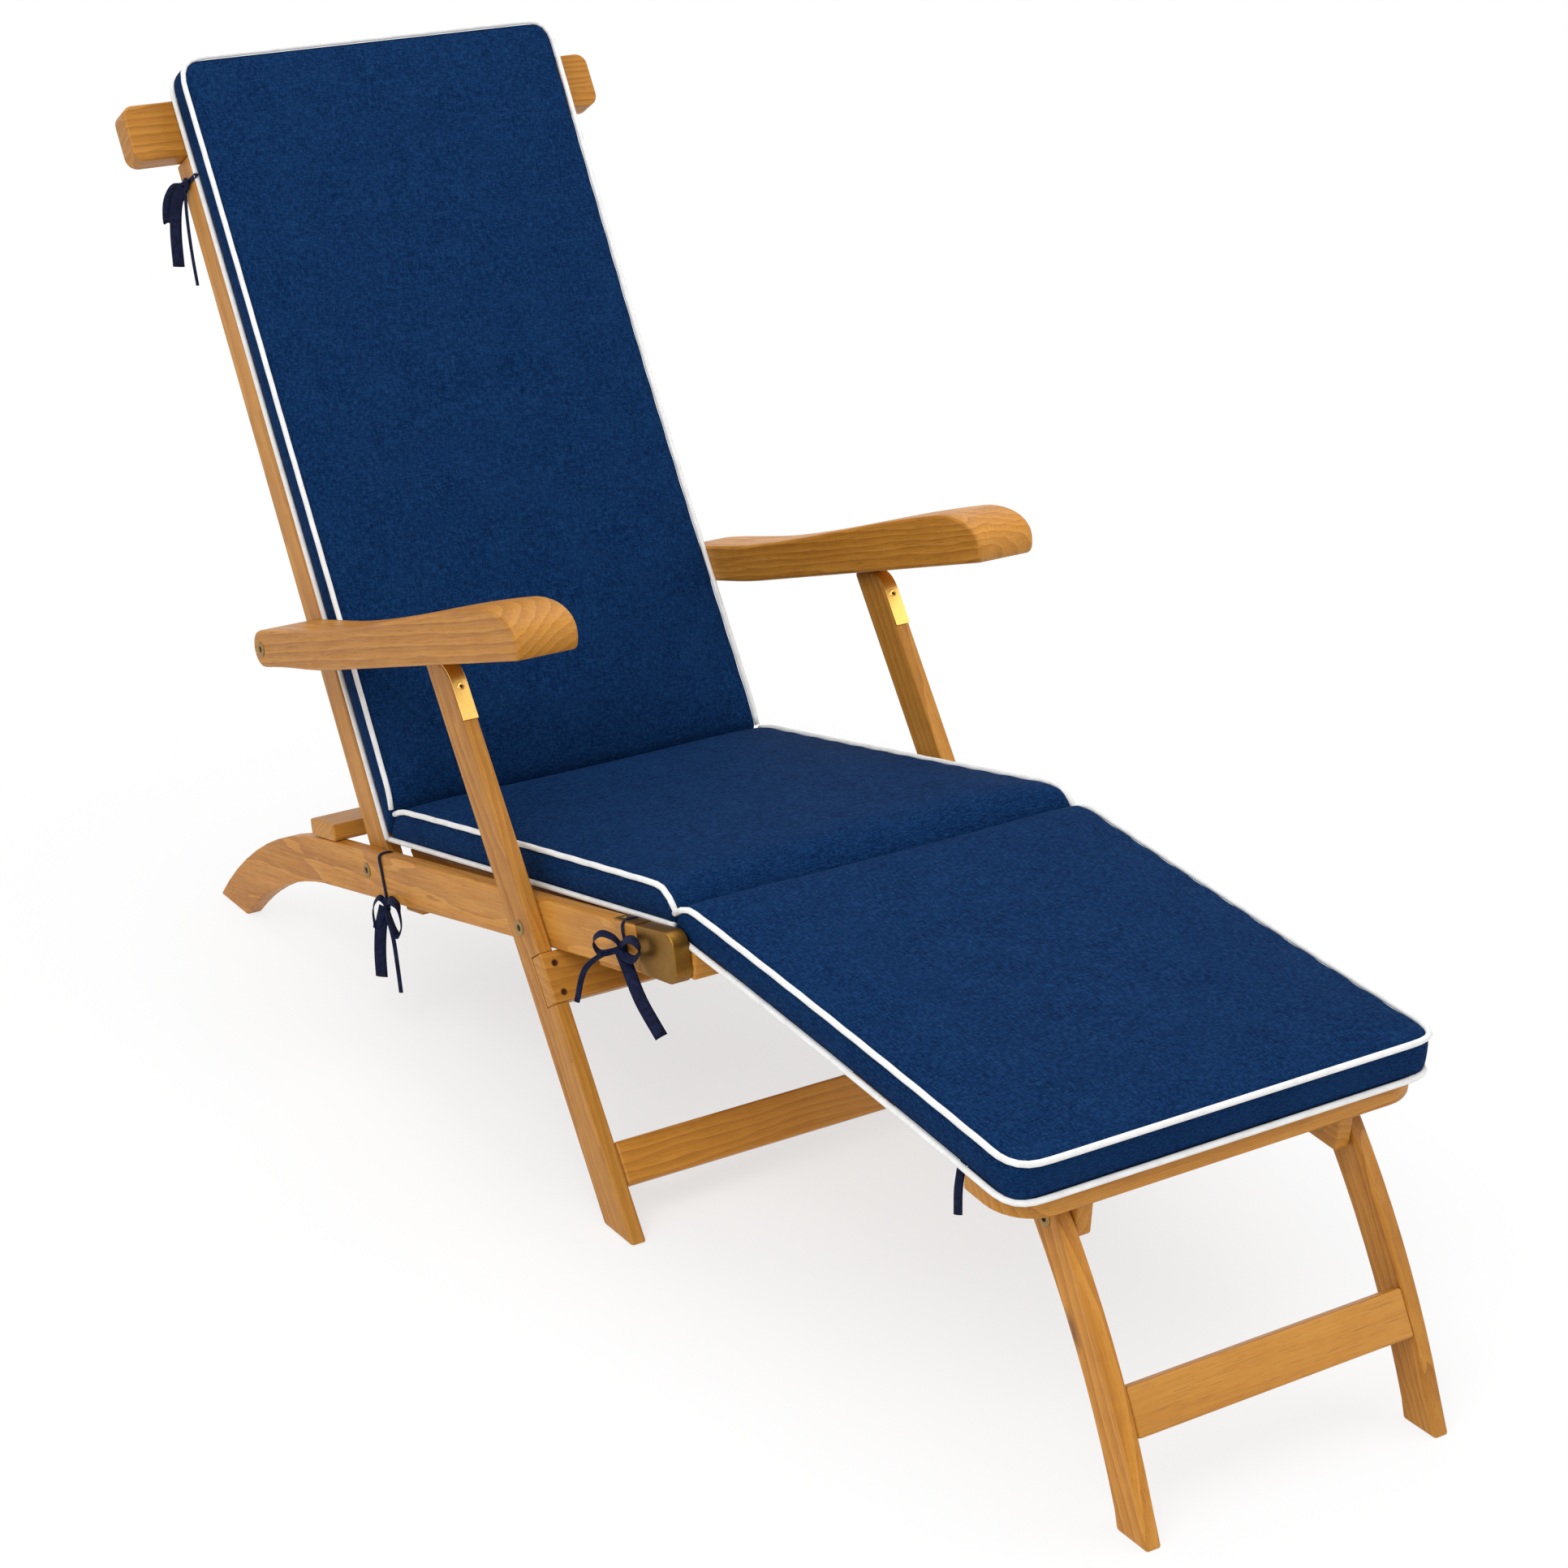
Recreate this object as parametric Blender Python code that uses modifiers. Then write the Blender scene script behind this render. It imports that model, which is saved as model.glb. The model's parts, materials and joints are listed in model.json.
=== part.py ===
"""Folding steamer deck chair with a tied-on box cushion, each piece a separate solid.

The chair faces -Y, stands on z = 0 and is symmetric about x = 0. Side views are drawn in (y, z).
"""
import math

import bmesh
import bpy
from mathutils import Matrix, Vector

CHAIR = "deck_chair"

# Clearances
FIT = 0.0003
PIVOT_GAP = 0.0005
STOP_GAP = 0.0005
DECK_SIDE_GAP = 0.0015

# Slopes, in degrees up from the horizontal
RAIL_SLOPE = 12.0
SEAT_SLOPE = 12.0
FOOT_DROP = 4.5
BACK_SLOPE = 58.5
LEG_SLOPE = 54.5
ARM_SLOPE = 18.5

# Places along the seat rails, measured forward and up from the back's pivot
PIVOT_HEIGHT = 0.184
LEG_PIVOT_ALONG = 0.396
KNEE_ALONG = 0.669
KNEE_UP = 0.001
LINK = 0.267

# Widths across the chair
INSIDE_HALF_WIDTH = 0.240
RAIL_THICK = 0.0195
LEG_THICK = 0.0175
STILE_THICK = 0.019
ARM_WIDTH = 0.070
CUSHION_HALF_WIDTH = 0.2385
HEADRAIL_HALF_WIDTH = 0.302
FOOT_BOARD_HALF_WIDTH = 0.235
FOOT_LEG_HALF_WIDTH = 0.174
FOOT_LEG_THICK = 0.0165

# Seat rail
RAIL_TOP_REAR = 0.0205
RAIL_TOP_FRONT = 0.0325
RAIL_BOTTOM_REAR = 0.034
RAIL_BOTTOM_FRONT = 0.0165
TAIL_START = 0.100
TAIL_RADIUS = 0.575
TONGUE_LENGTH = 0.030
TONGUE_DEPTH = 0.026
TONGUE_THICK = 0.011

# Knuckle
KNUCKLE_LENGTH = 0.060
KNUCKLE_NOSE = 0.010
KNUCKLE_HALF_DEPTH = 0.026
KNUCKLE_CORNER = 0.015

# Seat deck
SLAT_THICK = 0.012
SEAT_SLAT_WIDTH = 0.070
SEAT_SLATS = 5
SEAT_DECK_REAR = 0.030
SEAT_DECK_FRONT_GAP = 0.011
SEAT_LEVEL = 0.0325
DECK_ABOVE_KNEE = 0.0165
KNEE_CREASE = 0.028
BEARER_THICK = 0.018
SEAT_BAR_WIDTH = 0.040
SEAT_BAR_THICK = 0.010
SEAT_BAR_LAP = 0.0065
SEAT_REAR_BAR_ALONG = 0.080
SEAT_FRONT_BAR_ALONG = 0.520
REAR_BOARD_FROM = 0.078
REAR_BOARD_WIDTH = 0.062
REAR_BOARD_THICK = 0.020

# Back
STILE_DEPTH = 0.042
HEADRAIL_FROM = 0.840
HEADRAIL_HEIGHT = 0.066
HEADRAIL_THICK = 0.032
HEADRAIL_CORNER = 0.014
BACK_SLATS = 4
BACK_SLAT_WIDTH = 0.060
BACK_SLAT_THICK = 0.010
BACK_SLAT_FIRST = 0.205
BACK_SLAT_LAST = 0.790

# Arm, measured forward from its pivot and up from its underside
ARM_PIVOT_UP = 0.028
ARM_LENGTH = 0.626
ARM_REAR_RADIUS = 0.021
ARM_WAIST = 0.043
ARM_WAIST_ALONG = 0.170
ARM_HUMP = 0.055
ARM_HUMP_ALONG = 0.550
ARM_NOSE = 0.020
ARM_CHIN = 0.012

# Leg frame
LEG_WIDTH = 0.045
LEG_TOP_ROUND = 0.034
LEG_BACK_ROUND = 0.004
UPPER_STRETCHER_DEPTH = 0.054
UPPER_STRETCHER_THICK = 0.020
UPPER_STRETCHER_PROUD = 0.002
LOWER_STRETCHER_AT = 0.261
LOWER_STRETCHER_DEPTH = 0.046
LOWER_STRETCHER_THICK = 0.020
PLATE_THICK = 0.0015
PLATE_DROP = 0.049
PLATE_START = 100.0

# Footrest
FOOT_LENGTH = 0.524
FOOT_DECK_THICK = 0.022
FOOT_BOARD_WIDTH = 0.075
FOOT_BOARD_CORNER = 0.045
HINGE_BAR_WIDTH = 0.024
HINGE_BAR_DROP = 0.010
FOOT_SLATS = 3
FOOT_SLAT_WIDTH = 0.085
FOOT_SLAT_SPREAD = 0.152
CLEAT_FROM = 0.290
CLEAT_TO = 0.512
CLEAT_DEPTH = 0.040
CLEAT_THICK = 0.018

# Footrest legs
FOOT_LEG_PIVOT_ALONG = 0.4886
FOOT_LEG_PIVOT_DOWN = 0.0323
FOOT_LEG_LEAN = 28.6
FOOT_LEG_BULGE = 0.012
FOOT_LEG_WIDTH = 0.038
FOOT_STRETCHER_AT = 0.180
FOOT_STRETCHER_DEPTH = 0.046
FOOT_STRETCHER_THICK = 0.018

# Cushion
CUSHION_THICK = 0.048
CUSHION_CROWN = 0.008
CUSHION_DRAW = 0.003
BACK_CUSHION_TO = 0.935
CREASE_GAP = 0.0012
CUSHION_CUTS = 9

# Ribbon ties
TIE_WIDTH = 0.011
TIE_THICK = 0.001
TIE_GAP = 0.0008
TIE_OVER = 0.002
TAIL_SHARES = (0.15, 0.5, 1.0)
STILE_TIE_BELOW_HEADRAIL = 0.028
STILE_TIE_TAIL = 0.095
REAR_TIE_ALONG = 0.040
REAR_TIE_TAIL = 0.095
KNEE_TIE_ALONG = 0.584
KNEE_TIE_TAIL = 0.100
FOOT_TIE_BEHIND_BOARD = 0.024
FOOT_TIE_TAIL = 0.050

# Bolts
BOLT_RADIUS = 0.004
BOLT_HEAD_RADIUS = 0.0075
BOLT_HEAD_THICK = 0.0025
PIN_DEPTH = 0.035
PIN_COVER = 0.005
CUT_OVERSHOOT = 0.002

# Softened edges
EASE = 0.0025
ARM_EASE = 0.0035
BRASS_EASE = 0.0015
SHARP_ANGLE = 40.0

# Roundness
ARC_STEPS = 10
BOLT_STEPS = 16
WELD = 1e-5
FLAT_ANGLE = 0.1

# Colours, as linear values, and roughness
WOOD_COLOUR = (0.50, 0.225, 0.055)
BRASS_COLOUR = (0.40, 0.24, 0.07)
BOLT_COLOUR = (0.22, 0.13, 0.05)
NAVY_COLOUR = (0.008, 0.035, 0.115)
WOOD_ROUGHNESS = 0.5
BRASS_ROUGHNESS = 0.35
BOLT_ROUGHNESS = 0.4
CLOTH_ROUGHNESS = 0.9


class SideFrame:
    """A side-view frame: a runs along a slope, b runs square to it."""

    def __init__(self, origin, degrees, square):
        angle = math.radians(degrees)
        turn = angle + math.radians(square)
        self.origin = Vector(origin)
        self.along = Vector((math.cos(angle), math.sin(angle)))
        self.up = Vector((math.cos(turn), math.sin(turn)))
        self.angle = angle

    def __call__(self, a, b):
        return self.origin + a * self.along + b * self.up

    def read(self, point):
        offset = point - self.origin
        return offset.dot(self.along), offset.dot(self.up)


# Pivots and side frames
RAIL_FRONT_ALONG = KNEE_ALONG - KNUCKLE_LENGTH
BACK_PIVOT = Vector((0.0, PIVOT_HEIGHT))
RAIL = SideFrame(BACK_PIVOT, 180.0 - RAIL_SLOPE, -90.0)
BACK = SideFrame(BACK_PIVOT, BACK_SLOPE, 90.0)
LEG_PIVOT = RAIL(LEG_PIVOT_ALONG, 0.0)
LEG = SideFrame(LEG_PIVOT, LEG_SLOPE, 90.0)
KNEE = RAIL(KNEE_ALONG, KNEE_UP)
FOOT = SideFrame(KNEE, 180.0 + FOOT_DROP, -90.0)
FOOT_LEG_PIVOT = FOOT(FOOT_LEG_PIVOT_ALONG, -FOOT_LEG_PIVOT_DOWN)
SEAT = SideFrame(RAIL(KNEE_ALONG - KNEE_CREASE, SEAT_LEVEL), 180.0 - SEAT_SLOPE, -90.0)
LEG_CROWN = LEG(LINK, 0.0)
CROWN_RADIUS = LEG_WIDTH / 2
ARM_DOWN = SideFrame(LEG_CROWN, 180.0 - ARM_SLOPE, -90.0)


def arm_pivot():
    """The point on the stile's middle line that lies the arm's pivot height above its underside."""
    lift = CROWN_RADIUS + STOP_GAP + ARM_PIVOT_UP
    start = ARM_DOWN.read(BACK_PIVOT)[1]
    return BACK((lift - start) / BACK.along.dot(ARM_DOWN.up), 0.0)


ARM_PIVOT = arm_pivot()
ARM = SideFrame(ARM_PIVOT - ARM_PIVOT_UP * ARM_DOWN.up, 180.0 - ARM_SLOPE, -90.0)

# Faces across the chair, as distances from the middle
RAIL_OUTER = INSIDE_HALF_WIDTH + RAIL_THICK
LEG_INNER = RAIL_OUTER + PIVOT_GAP
LEG_OUTER = LEG_INNER + LEG_THICK
STILE_OUTER = INSIDE_HALF_WIDTH - PIVOT_GAP
STILE_INNER = STILE_OUTER - STILE_THICK
ARM_INNER = STILE_OUTER + PIVOT_GAP
ARM_OUTER = ARM_INNER + ARM_WIDTH
DECK_HALF_WIDTH = STILE_INNER - DECK_SIDE_GAP
FOOT_LEG_INNER = FOOT_LEG_HALF_WIDTH - FOOT_LEG_THICK
CLEAT_OUTER = FOOT_LEG_INNER - PIVOT_GAP
SIDES = (("left", -1), ("right", 1))


def clear_scene():
    for item in list(bpy.data.objects):
        bpy.data.objects.remove(item, do_unlink=True)


def new_collection(name):
    group = bpy.data.collections.new(name)
    bpy.context.scene.collection.children.link(group)
    return group


def principled(name, colour, roughness, metallic):
    made = bpy.data.materials.new(name)
    made.use_nodes = True
    shader = made.node_tree.nodes["Principled BSDF"]
    shader.inputs["Base Color"].default_value = (*colour, 1.0)
    shader.inputs["Roughness"].default_value = roughness
    shader.inputs["Metallic"].default_value = metallic
    return made


clear_scene()
PARTS = new_collection(CHAIR)
CUTTERS = new_collection("cutters")


def wood(name):
    return principled(name, WOOD_COLOUR, WOOD_ROUGHNESS, 0.0)


def brass(name):
    return principled(name, BRASS_COLOUR, BRASS_ROUGHNESS, 1.0)


def bolt_metal(name):
    return principled(name, BOLT_COLOUR, BOLT_ROUGHNESS, 1.0)


def navy_cloth(name):
    return principled(name, NAVY_COLOUR, CLOTH_ROUGHNESS, 0.0)


class Joint:
    """A joint's axis: an empty with the point it stands on."""

    def __init__(self, name, point, parent=None):
        self.point = Vector(point)
        self.empty = bpy.data.objects.new(name, None)
        PARTS.objects.link(self.empty)
        start = Vector((0.0, 0.0))
        if parent:
            self.empty.parent = parent.empty
            start = parent.point
        offset = self.point - start
        self.empty.location = (0.0, offset.x, offset.y)


FLOOR = Joint("floor_axis", (0.0, 0.0))
BACK_AXIS = Joint("back_axis", BACK_PIVOT, FLOOR)
ARM_AXIS = Joint("arm_axis", ARM_PIVOT, BACK_AXIS)
LEG_AXIS = Joint("leg_axis", LEG_PIVOT, FLOOR)
KNEE_AXIS = Joint("knee_axis", KNEE, FLOOR)
FOOT_LEG_AXIS = Joint("foot_leg_axis", FOOT_LEG_PIVOT, KNEE_AXIS)


def finish(item, joint, material, group=PARTS):
    """Links an object, hangs it on its joint and gives it its material."""
    group.objects.link(item)
    item.parent = joint.empty
    item.data.materials.clear()
    item.data.materials.append(material)
    return item


def ease_edges(item, width):
    bevel = item.modifiers.new("ease", "BEVEL")
    bevel.width = width
    bevel.segments = 2
    bevel.limit_method = "ANGLE"
    bevel.angle_limit = math.radians(SHARP_ANGLE)


def cut(item, cutter):
    boolean = item.modifiers.new("cut", "BOOLEAN")
    boolean.operation = "DIFFERENCE"
    boolean.object = cutter


def join_on(item, other):
    boolean = item.modifiers.new("join", "BOOLEAN")
    boolean.operation = "UNION"
    boolean.object = other


def hide_as_cutter(item):
    item.hide_render = True
    item.display_type = "WIRE"
    return item


def flat_outline(name, outline, thick):
    """A closed flat outline as a mesh, extruded evenly to both sides."""
    curve = bpy.data.curves.new(name, "CURVE")
    curve.dimensions = "2D"
    curve.fill_mode = "BOTH"
    curve.extrude = thick / 2
    spline = curve.splines.new("POLY")
    spline.points.add(len(outline) - 1)
    spline.use_cyclic_u = True
    for point, (x, y) in zip(spline.points, outline):
        point.co = (x, y, 0.0, 1.0)
    holder = bpy.data.objects.new(name + "_outline", curve)
    bpy.context.scene.collection.objects.link(holder)
    ready = holder.evaluated_get(bpy.context.evaluated_depsgraph_get())
    mesh = bpy.data.meshes.new_from_object(ready)
    bpy.data.objects.remove(holder, do_unlink=True)
    shape = bmesh.new()
    shape.from_mesh(mesh)
    bmesh.ops.remove_doubles(shape, verts=shape.verts, dist=WELD)
    flat = math.radians(FLAT_ANGLE)
    bmesh.ops.dissolve_limit(shape, angle_limit=flat, verts=shape.verts, edges=shape.edges)
    bmesh.ops.recalc_face_normals(shape, faces=shape.faces)
    shape.to_mesh(mesh)
    shape.free()
    mesh.name = name
    return mesh


def side_board(name, outline, x_from, x_to, joint, material, ease=EASE):
    """A board drawn in side view, spanning x_from to x_to across the chair."""
    local = [point - joint.point for point in outline]
    mesh = flat_outline(name, local, abs(x_to - x_from))
    item = bpy.data.objects.new(name, mesh)
    item.location = ((x_from + x_to) / 2, 0.0, 0.0)
    item.rotation_euler = (math.pi / 2, 0.0, math.pi / 2)
    finish(item, joint, material)
    ease_edges(item, ease)
    return item


def box_mesh(name, size):
    mesh = bpy.data.meshes.new(name)
    shape = bmesh.new()
    bmesh.ops.create_cube(shape, size=1.0, matrix=Matrix.Diagonal((*size, 1.0)))
    shape.to_mesh(mesh)
    shape.free()
    return mesh


def plank(name, frame, span_a, span_b, span_x, joint, material, ease=EASE, group=PARTS):
    """A straight board: spans along and square to a side frame, and across the chair."""
    size = (span_x[1] - span_x[0], span_a[1] - span_a[0], span_b[1] - span_b[0])
    centre = frame(sum(span_a) / 2, sum(span_b) / 2) - joint.point
    item = bpy.data.objects.new(name, box_mesh(name, size))
    item.location = (sum(span_x) / 2, centre.x, centre.y)
    item.rotation_euler = (frame.angle, 0.0, 0.0)
    finish(item, joint, material, group)
    if ease:
        ease_edges(item, ease)
    return item


def arc(centre, radius, start, end, steps=ARC_STEPS):
    """Points on an arc, from start to end in degrees."""
    points = []
    for step in range(steps + 1):
        angle = math.radians(start + (end - start) * step / steps)
        points.append(Vector(centre) + radius * Vector((math.cos(angle), math.sin(angle))))
    return points


def turned(name, profile, joint, side, x_outer, point, group):
    """A turned piece on a sideways axis. Its profile holds (radius, depth from its outer face)."""
    mesh = bpy.data.meshes.new(name)
    corners = [(radius, 0.0, -depth) for radius, depth in profile]
    edges = [(index, index + 1) for index in range(len(corners) - 1)]
    mesh.from_pydata(corners, edges, [])
    item = bpy.data.objects.new(name, mesh)
    offset = point - joint.point
    item.location = (side * x_outer, offset.x, offset.y)
    item.rotation_euler = (0.0, side * math.pi / 2, 0.0)
    screw = item.modifiers.new("turn", "SCREW")
    screw.steps = BOLT_STEPS
    screw.render_steps = BOLT_STEPS
    screw.use_merge_vertices = True
    screw.merge_threshold = WELD
    group.objects.link(item)
    item.parent = joint.empty
    return item


def bolt(name, side, x_outer, x_inner, point, joint, through):
    """A flush-headed bolt from x_outer in to x_inner, and its hole in each piece it goes through."""
    length = x_outer - x_inner
    head = BOLT_HEAD_THICK
    profile = [(0.0, FIT), (BOLT_HEAD_RADIUS, FIT), (BOLT_HEAD_RADIUS, head)]
    profile += [(BOLT_RADIUS, head), (BOLT_RADIUS, length), (0.0, length)]
    item = turned(name, profile, joint, side, x_outer, point, PARTS)
    item.data.materials.append(bolt_metal(name))
    wide = BOLT_HEAD_RADIUS + FIT
    narrow = BOLT_RADIUS + FIT
    out = -CUT_OVERSHOOT
    end = length + FIT
    hole = [(0.0, out), (wide, out), (wide, head + FIT), (narrow, head + FIT), (narrow, end), (0.0, end)]
    cutter = hide_as_cutter(turned(name + "_hole", hole, joint, side, x_outer, point, CUTTERS))
    for piece in through:
        cut(piece, cutter)
    return item


def pin(name, side, x_outer, x_inner, point, joint, through):
    """A plain pin from x_outer in to x_inner, and its hole in each piece it goes into."""
    length = x_outer - x_inner
    profile = [(0.0, 0.0), (BOLT_RADIUS, 0.0), (BOLT_RADIUS, length), (0.0, length)]
    item = turned(name, profile, joint, side, x_outer, point, PARTS)
    item.data.materials.append(bolt_metal(name))
    wide = BOLT_RADIUS + FIT
    end = length + FIT
    hole = [(0.0, -FIT), (wide, -FIT), (wide, end), (0.0, end)]
    cutter = hide_as_cutter(turned(name + "_hole", hole, joint, side, x_outer, point, CUTTERS))
    for piece in through:
        cut(piece, cutter)
    return item


def rail_top(along):
    """Height of the rail's upper edge above the pivots' line."""
    share = (along + TAIL_START) / (RAIL_FRONT_ALONG + TAIL_START)
    return RAIL_TOP_REAR + share * (RAIL_TOP_FRONT - RAIL_TOP_REAR)


def rail_bottom(along):
    """Depth of the rail's lower edge below the pivots' line."""
    share = (along + TAIL_START) / (RAIL_FRONT_ALONG + TAIL_START)
    return RAIL_BOTTOM_REAR + share * (RAIL_BOTTOM_FRONT - RAIL_BOTTOM_REAR)


def floor_angle(centre, radius):
    """Angle on an arc, in degrees, where it comes down to the floor."""
    return math.degrees(math.asin(-centre.y / radius))


def rail_outline():
    """Side view of a seat rail, with its tail swept down to stand on the floor."""
    centre = RAIL(-TAIL_START, RAIL_TOP_REAR - TAIL_RADIUS)
    inner_radius = TAIL_RADIUS - RAIL_TOP_REAR - RAIL_BOTTOM_REAR
    start = 90.0 - RAIL_SLOPE
    top = arc(centre, TAIL_RADIUS, start, floor_angle(centre, TAIL_RADIUS))
    under = arc(centre, inner_radius, floor_angle(centre, inner_radius), start)
    front = [RAIL(RAIL_FRONT_ALONG, -RAIL_BOTTOM_FRONT), RAIL(RAIL_FRONT_ALONG, RAIL_TOP_FRONT)]
    return top + under + front


def rail_front_middle():
    """Height of the rail's middle line at its front end."""
    return (RAIL_TOP_FRONT - RAIL_BOTTOM_FRONT) / 2


def knuckle_outline():
    """Side view of the brass end: straight where it meets the rail, with two rounded corners in front."""
    back = RAIL_FRONT_ALONG + FIT
    reach = KNEE_ALONG + KNUCKLE_NOSE - KNUCKLE_CORNER
    drop = KNUCKLE_HALF_DEPTH - KNUCKLE_CORNER
    ahead = math.degrees(RAIL.angle)
    upper = arc(RAIL(reach, rail_front_middle() + drop), KNUCKLE_CORNER, ahead - 90.0, ahead)
    lower = arc(RAIL(reach, rail_front_middle() - drop), KNUCKLE_CORNER, ahead, ahead + 90.0)
    return [RAIL(back, RAIL_TOP_FRONT)] + upper + lower + [RAIL(back, -RAIL_BOTTOM_FRONT)]


def build_rails():
    """The two seat rails with brass knuckles on their front tongues."""
    rails = {}
    knuckles = {}
    tongue_middle = rail_front_middle()
    tongue_b = (tongue_middle - TONGUE_DEPTH / 2, tongue_middle + TONGUE_DEPTH / 2)
    root = RAIL_FRONT_ALONG - CUT_OVERSHOOT * 2
    tip = RAIL_FRONT_ALONG + TONGUE_LENGTH
    for name, side in SIDES:
        faces = (side * INSIDE_HALF_WIDTH, side * RAIL_OUTER)
        rail = side_board("rail_" + name, rail_outline(), *faces, FLOOR, wood("rail_" + name))
        middle = side * (INSIDE_HALF_WIDTH + RAIL_OUTER) / 2
        tongue_x = (middle - TONGUE_THICK / 2, middle + TONGUE_THICK / 2)
        tongue_wood = wood("tongue_" + name)
        tongue = plank("tongue_" + name, RAIL, (root, tip), tongue_b, tongue_x, FLOOR, tongue_wood,
                       0.0, CUTTERS)
        join_on(rail, hide_as_cutter(tongue))
        knuckle_brass = brass("knuckle_" + name)
        knuckle = side_board("knuckle_" + name, knuckle_outline(), *faces, FLOOR, knuckle_brass, BRASS_EASE)
        socket_b = (tongue_b[0] - FIT, tongue_b[1] + FIT)
        socket_x = (tongue_x[0] - FIT, tongue_x[1] + FIT)
        socket = plank("socket_" + name, RAIL, (root, tip + FIT), socket_b, socket_x, FLOOR, knuckle_brass,
                       0.0, CUTTERS)
        cut(knuckle, hide_as_cutter(socket))
        rails[side] = rail
        knuckles[side] = knuckle
    return rails, knuckles


def seat_deck_end():
    """How far behind the knee the seat deck starts and ends, as (rear, front)."""
    rear = SEAT.read(RAIL(SEAT_DECK_REAR, 0.0))[0]
    return rear, -SEAT_DECK_FRONT_GAP


def build_seat():
    """Cross bars under the rails, two bearers, slats on the bearers and a board behind the back."""
    reach = INSIDE_HALF_WIDTH + SEAT_BAR_LAP
    half = SEAT_BAR_WIDTH / 2
    for name, along in (("seat_rear_bar", SEAT_REAR_BAR_ALONG), ("seat_front_bar", SEAT_FRONT_BAR_ALONG)):
        top = -max(rail_bottom(along - half), rail_bottom(along + half)) - FIT
        plank(name, RAIL, (along - half, along + half), (top - SEAT_BAR_THICK, top), (-reach, reach), FLOOR,
              wood(name))
    rear, front = seat_deck_end()
    slat_top = -FIT
    bearer_top = slat_top - SLAT_THICK - FIT
    outline = [SEAT(rear, bearer_top)]
    for along in (SEAT_REAR_BAR_ALONG, SEAT_FRONT_BAR_ALONG):
        low = -rail_bottom(along - half)
        outline += [RAIL(along - half, low), RAIL(along + half, low)]
    outline.append(SEAT(front, bearer_top))
    for name, side in SIDES:
        inner = side * (DECK_HALF_WIDTH - BEARER_THICK)
        side_board("seat_bearer_" + name, outline, inner, side * DECK_HALF_WIDTH, FLOOR,
                   wood("seat_bearer_" + name))
    pitch = (front - rear - SEAT_SLAT_WIDTH) / (SEAT_SLATS - 1)
    for number in range(SEAT_SLATS):
        start = rear + number * pitch
        name = f"seat_slat_{number + 1}"
        plank(name, SEAT, (start, start + SEAT_SLAT_WIDTH), (slat_top - SLAT_THICK, slat_top),
              (-DECK_HALF_WIDTH, DECK_HALF_WIDTH), FLOOR, wood(name))
    board_low = rail_top(-REAR_BOARD_FROM) + FIT
    board_b = (board_low, board_low + REAR_BOARD_THICK)
    board_a = (-REAR_BOARD_FROM - REAR_BOARD_WIDTH, -REAR_BOARD_FROM)
    plank("rear_cross_board", RAIL, board_a, board_b, (-RAIL_OUTER, RAIL_OUTER), FLOOR,
          wood("rear_cross_board"))


def stile_outline():
    """Side view of a back stile: round round the pivot, square under the headrail."""
    half = STILE_DEPTH / 2
    foot = arc(BACK_PIVOT, half, BACK_SLOPE + 90.0, BACK_SLOPE + 270.0)
    return foot + [BACK(HEADRAIL_FROM - FIT, -half), BACK(HEADRAIL_FROM - FIT, half)]


def rounded_rectangle(x_half, low, high, radius_low, radius_high):
    """Corners of a flat rectangle, rounded at its low and high ends."""
    points = []
    corners = ((x_half, low, radius_low, -90.0), (x_half, high, radius_high, 0.0),
               (-x_half, high, radius_high, 90.0), (-x_half, low, radius_low, 180.0))
    for x, y, radius, start in corners:
        if not radius:
            points.append(Vector((x, y)))
            continue
        inward = Vector((-math.copysign(radius, x), radius if y == low else -radius))
        points += arc(Vector((x, y)) + inward, radius, start, start + 90.0)
    return points


def flat_board(name, outline, frame, level, thick, joint, material):
    """A board drawn flat on a side frame: across the chair and along the frame."""
    item = bpy.data.objects.new(name, flat_outline(name, outline, thick))
    centre = frame(0.0, level) - joint.point
    item.location = (0.0, centre.x, centre.y)
    item.rotation_euler = (frame.angle, 0.0, 0.0)
    finish(item, joint, material)
    ease_edges(item, EASE)
    return item


def build_back():
    """Two stiles, the headrail on top of them and the slats let in between them."""
    stiles = {}
    for name, side in SIDES:
        faces = (side * STILE_INNER, side * STILE_OUTER)
        stiles[side] = side_board("stile_" + name, stile_outline(), *faces, BACK_AXIS, wood("stile_" + name))
    outline = rounded_rectangle(HEADRAIL_HALF_WIDTH, HEADRAIL_FROM, HEADRAIL_FROM + HEADRAIL_HEIGHT,
                                HEADRAIL_CORNER, HEADRAIL_CORNER)
    flat_board("headrail", outline, BACK, 0.0, HEADRAIL_THICK, BACK_AXIS, wood("headrail"))
    pitch = (BACK_SLAT_LAST - BACK_SLAT_FIRST) / (BACK_SLATS - 1)
    face = STILE_DEPTH / 2
    inner = STILE_INNER - FIT
    for number in range(BACK_SLATS):
        middle = BACK_SLAT_FIRST + number * pitch
        name = f"back_slat_{number + 1}"
        span = (middle - BACK_SLAT_WIDTH / 2, middle + BACK_SLAT_WIDTH / 2)
        plank(name, BACK, span, (face - BACK_SLAT_THICK, face), (-inner, inner), BACK_AXIS, wood(name))
    return stiles


def smooth_run(start, end, steps=ARC_STEPS):
    """Points that ease from one (along, up) to another, level at both."""
    points = []
    for step in range(1, steps + 1):
        share = step / steps
        eased = (1.0 - math.cos(math.pi * share)) / 2
        points.append((start[0] + (end[0] - start[0]) * share, start[1] + (end[1] - start[1]) * eased))
    return points


def quarter_round(centre, reach, rise):
    """Points on a quarter of an ellipse, from just past its (along, up) rise round to its reach."""
    points = []
    for step in range(1, ARC_STEPS + 1):
        angle = math.radians(90.0 * step / ARC_STEPS)
        points.append((centre[0] + reach * math.sin(angle), centre[1] + rise * math.cos(angle)))
    return points


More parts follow.
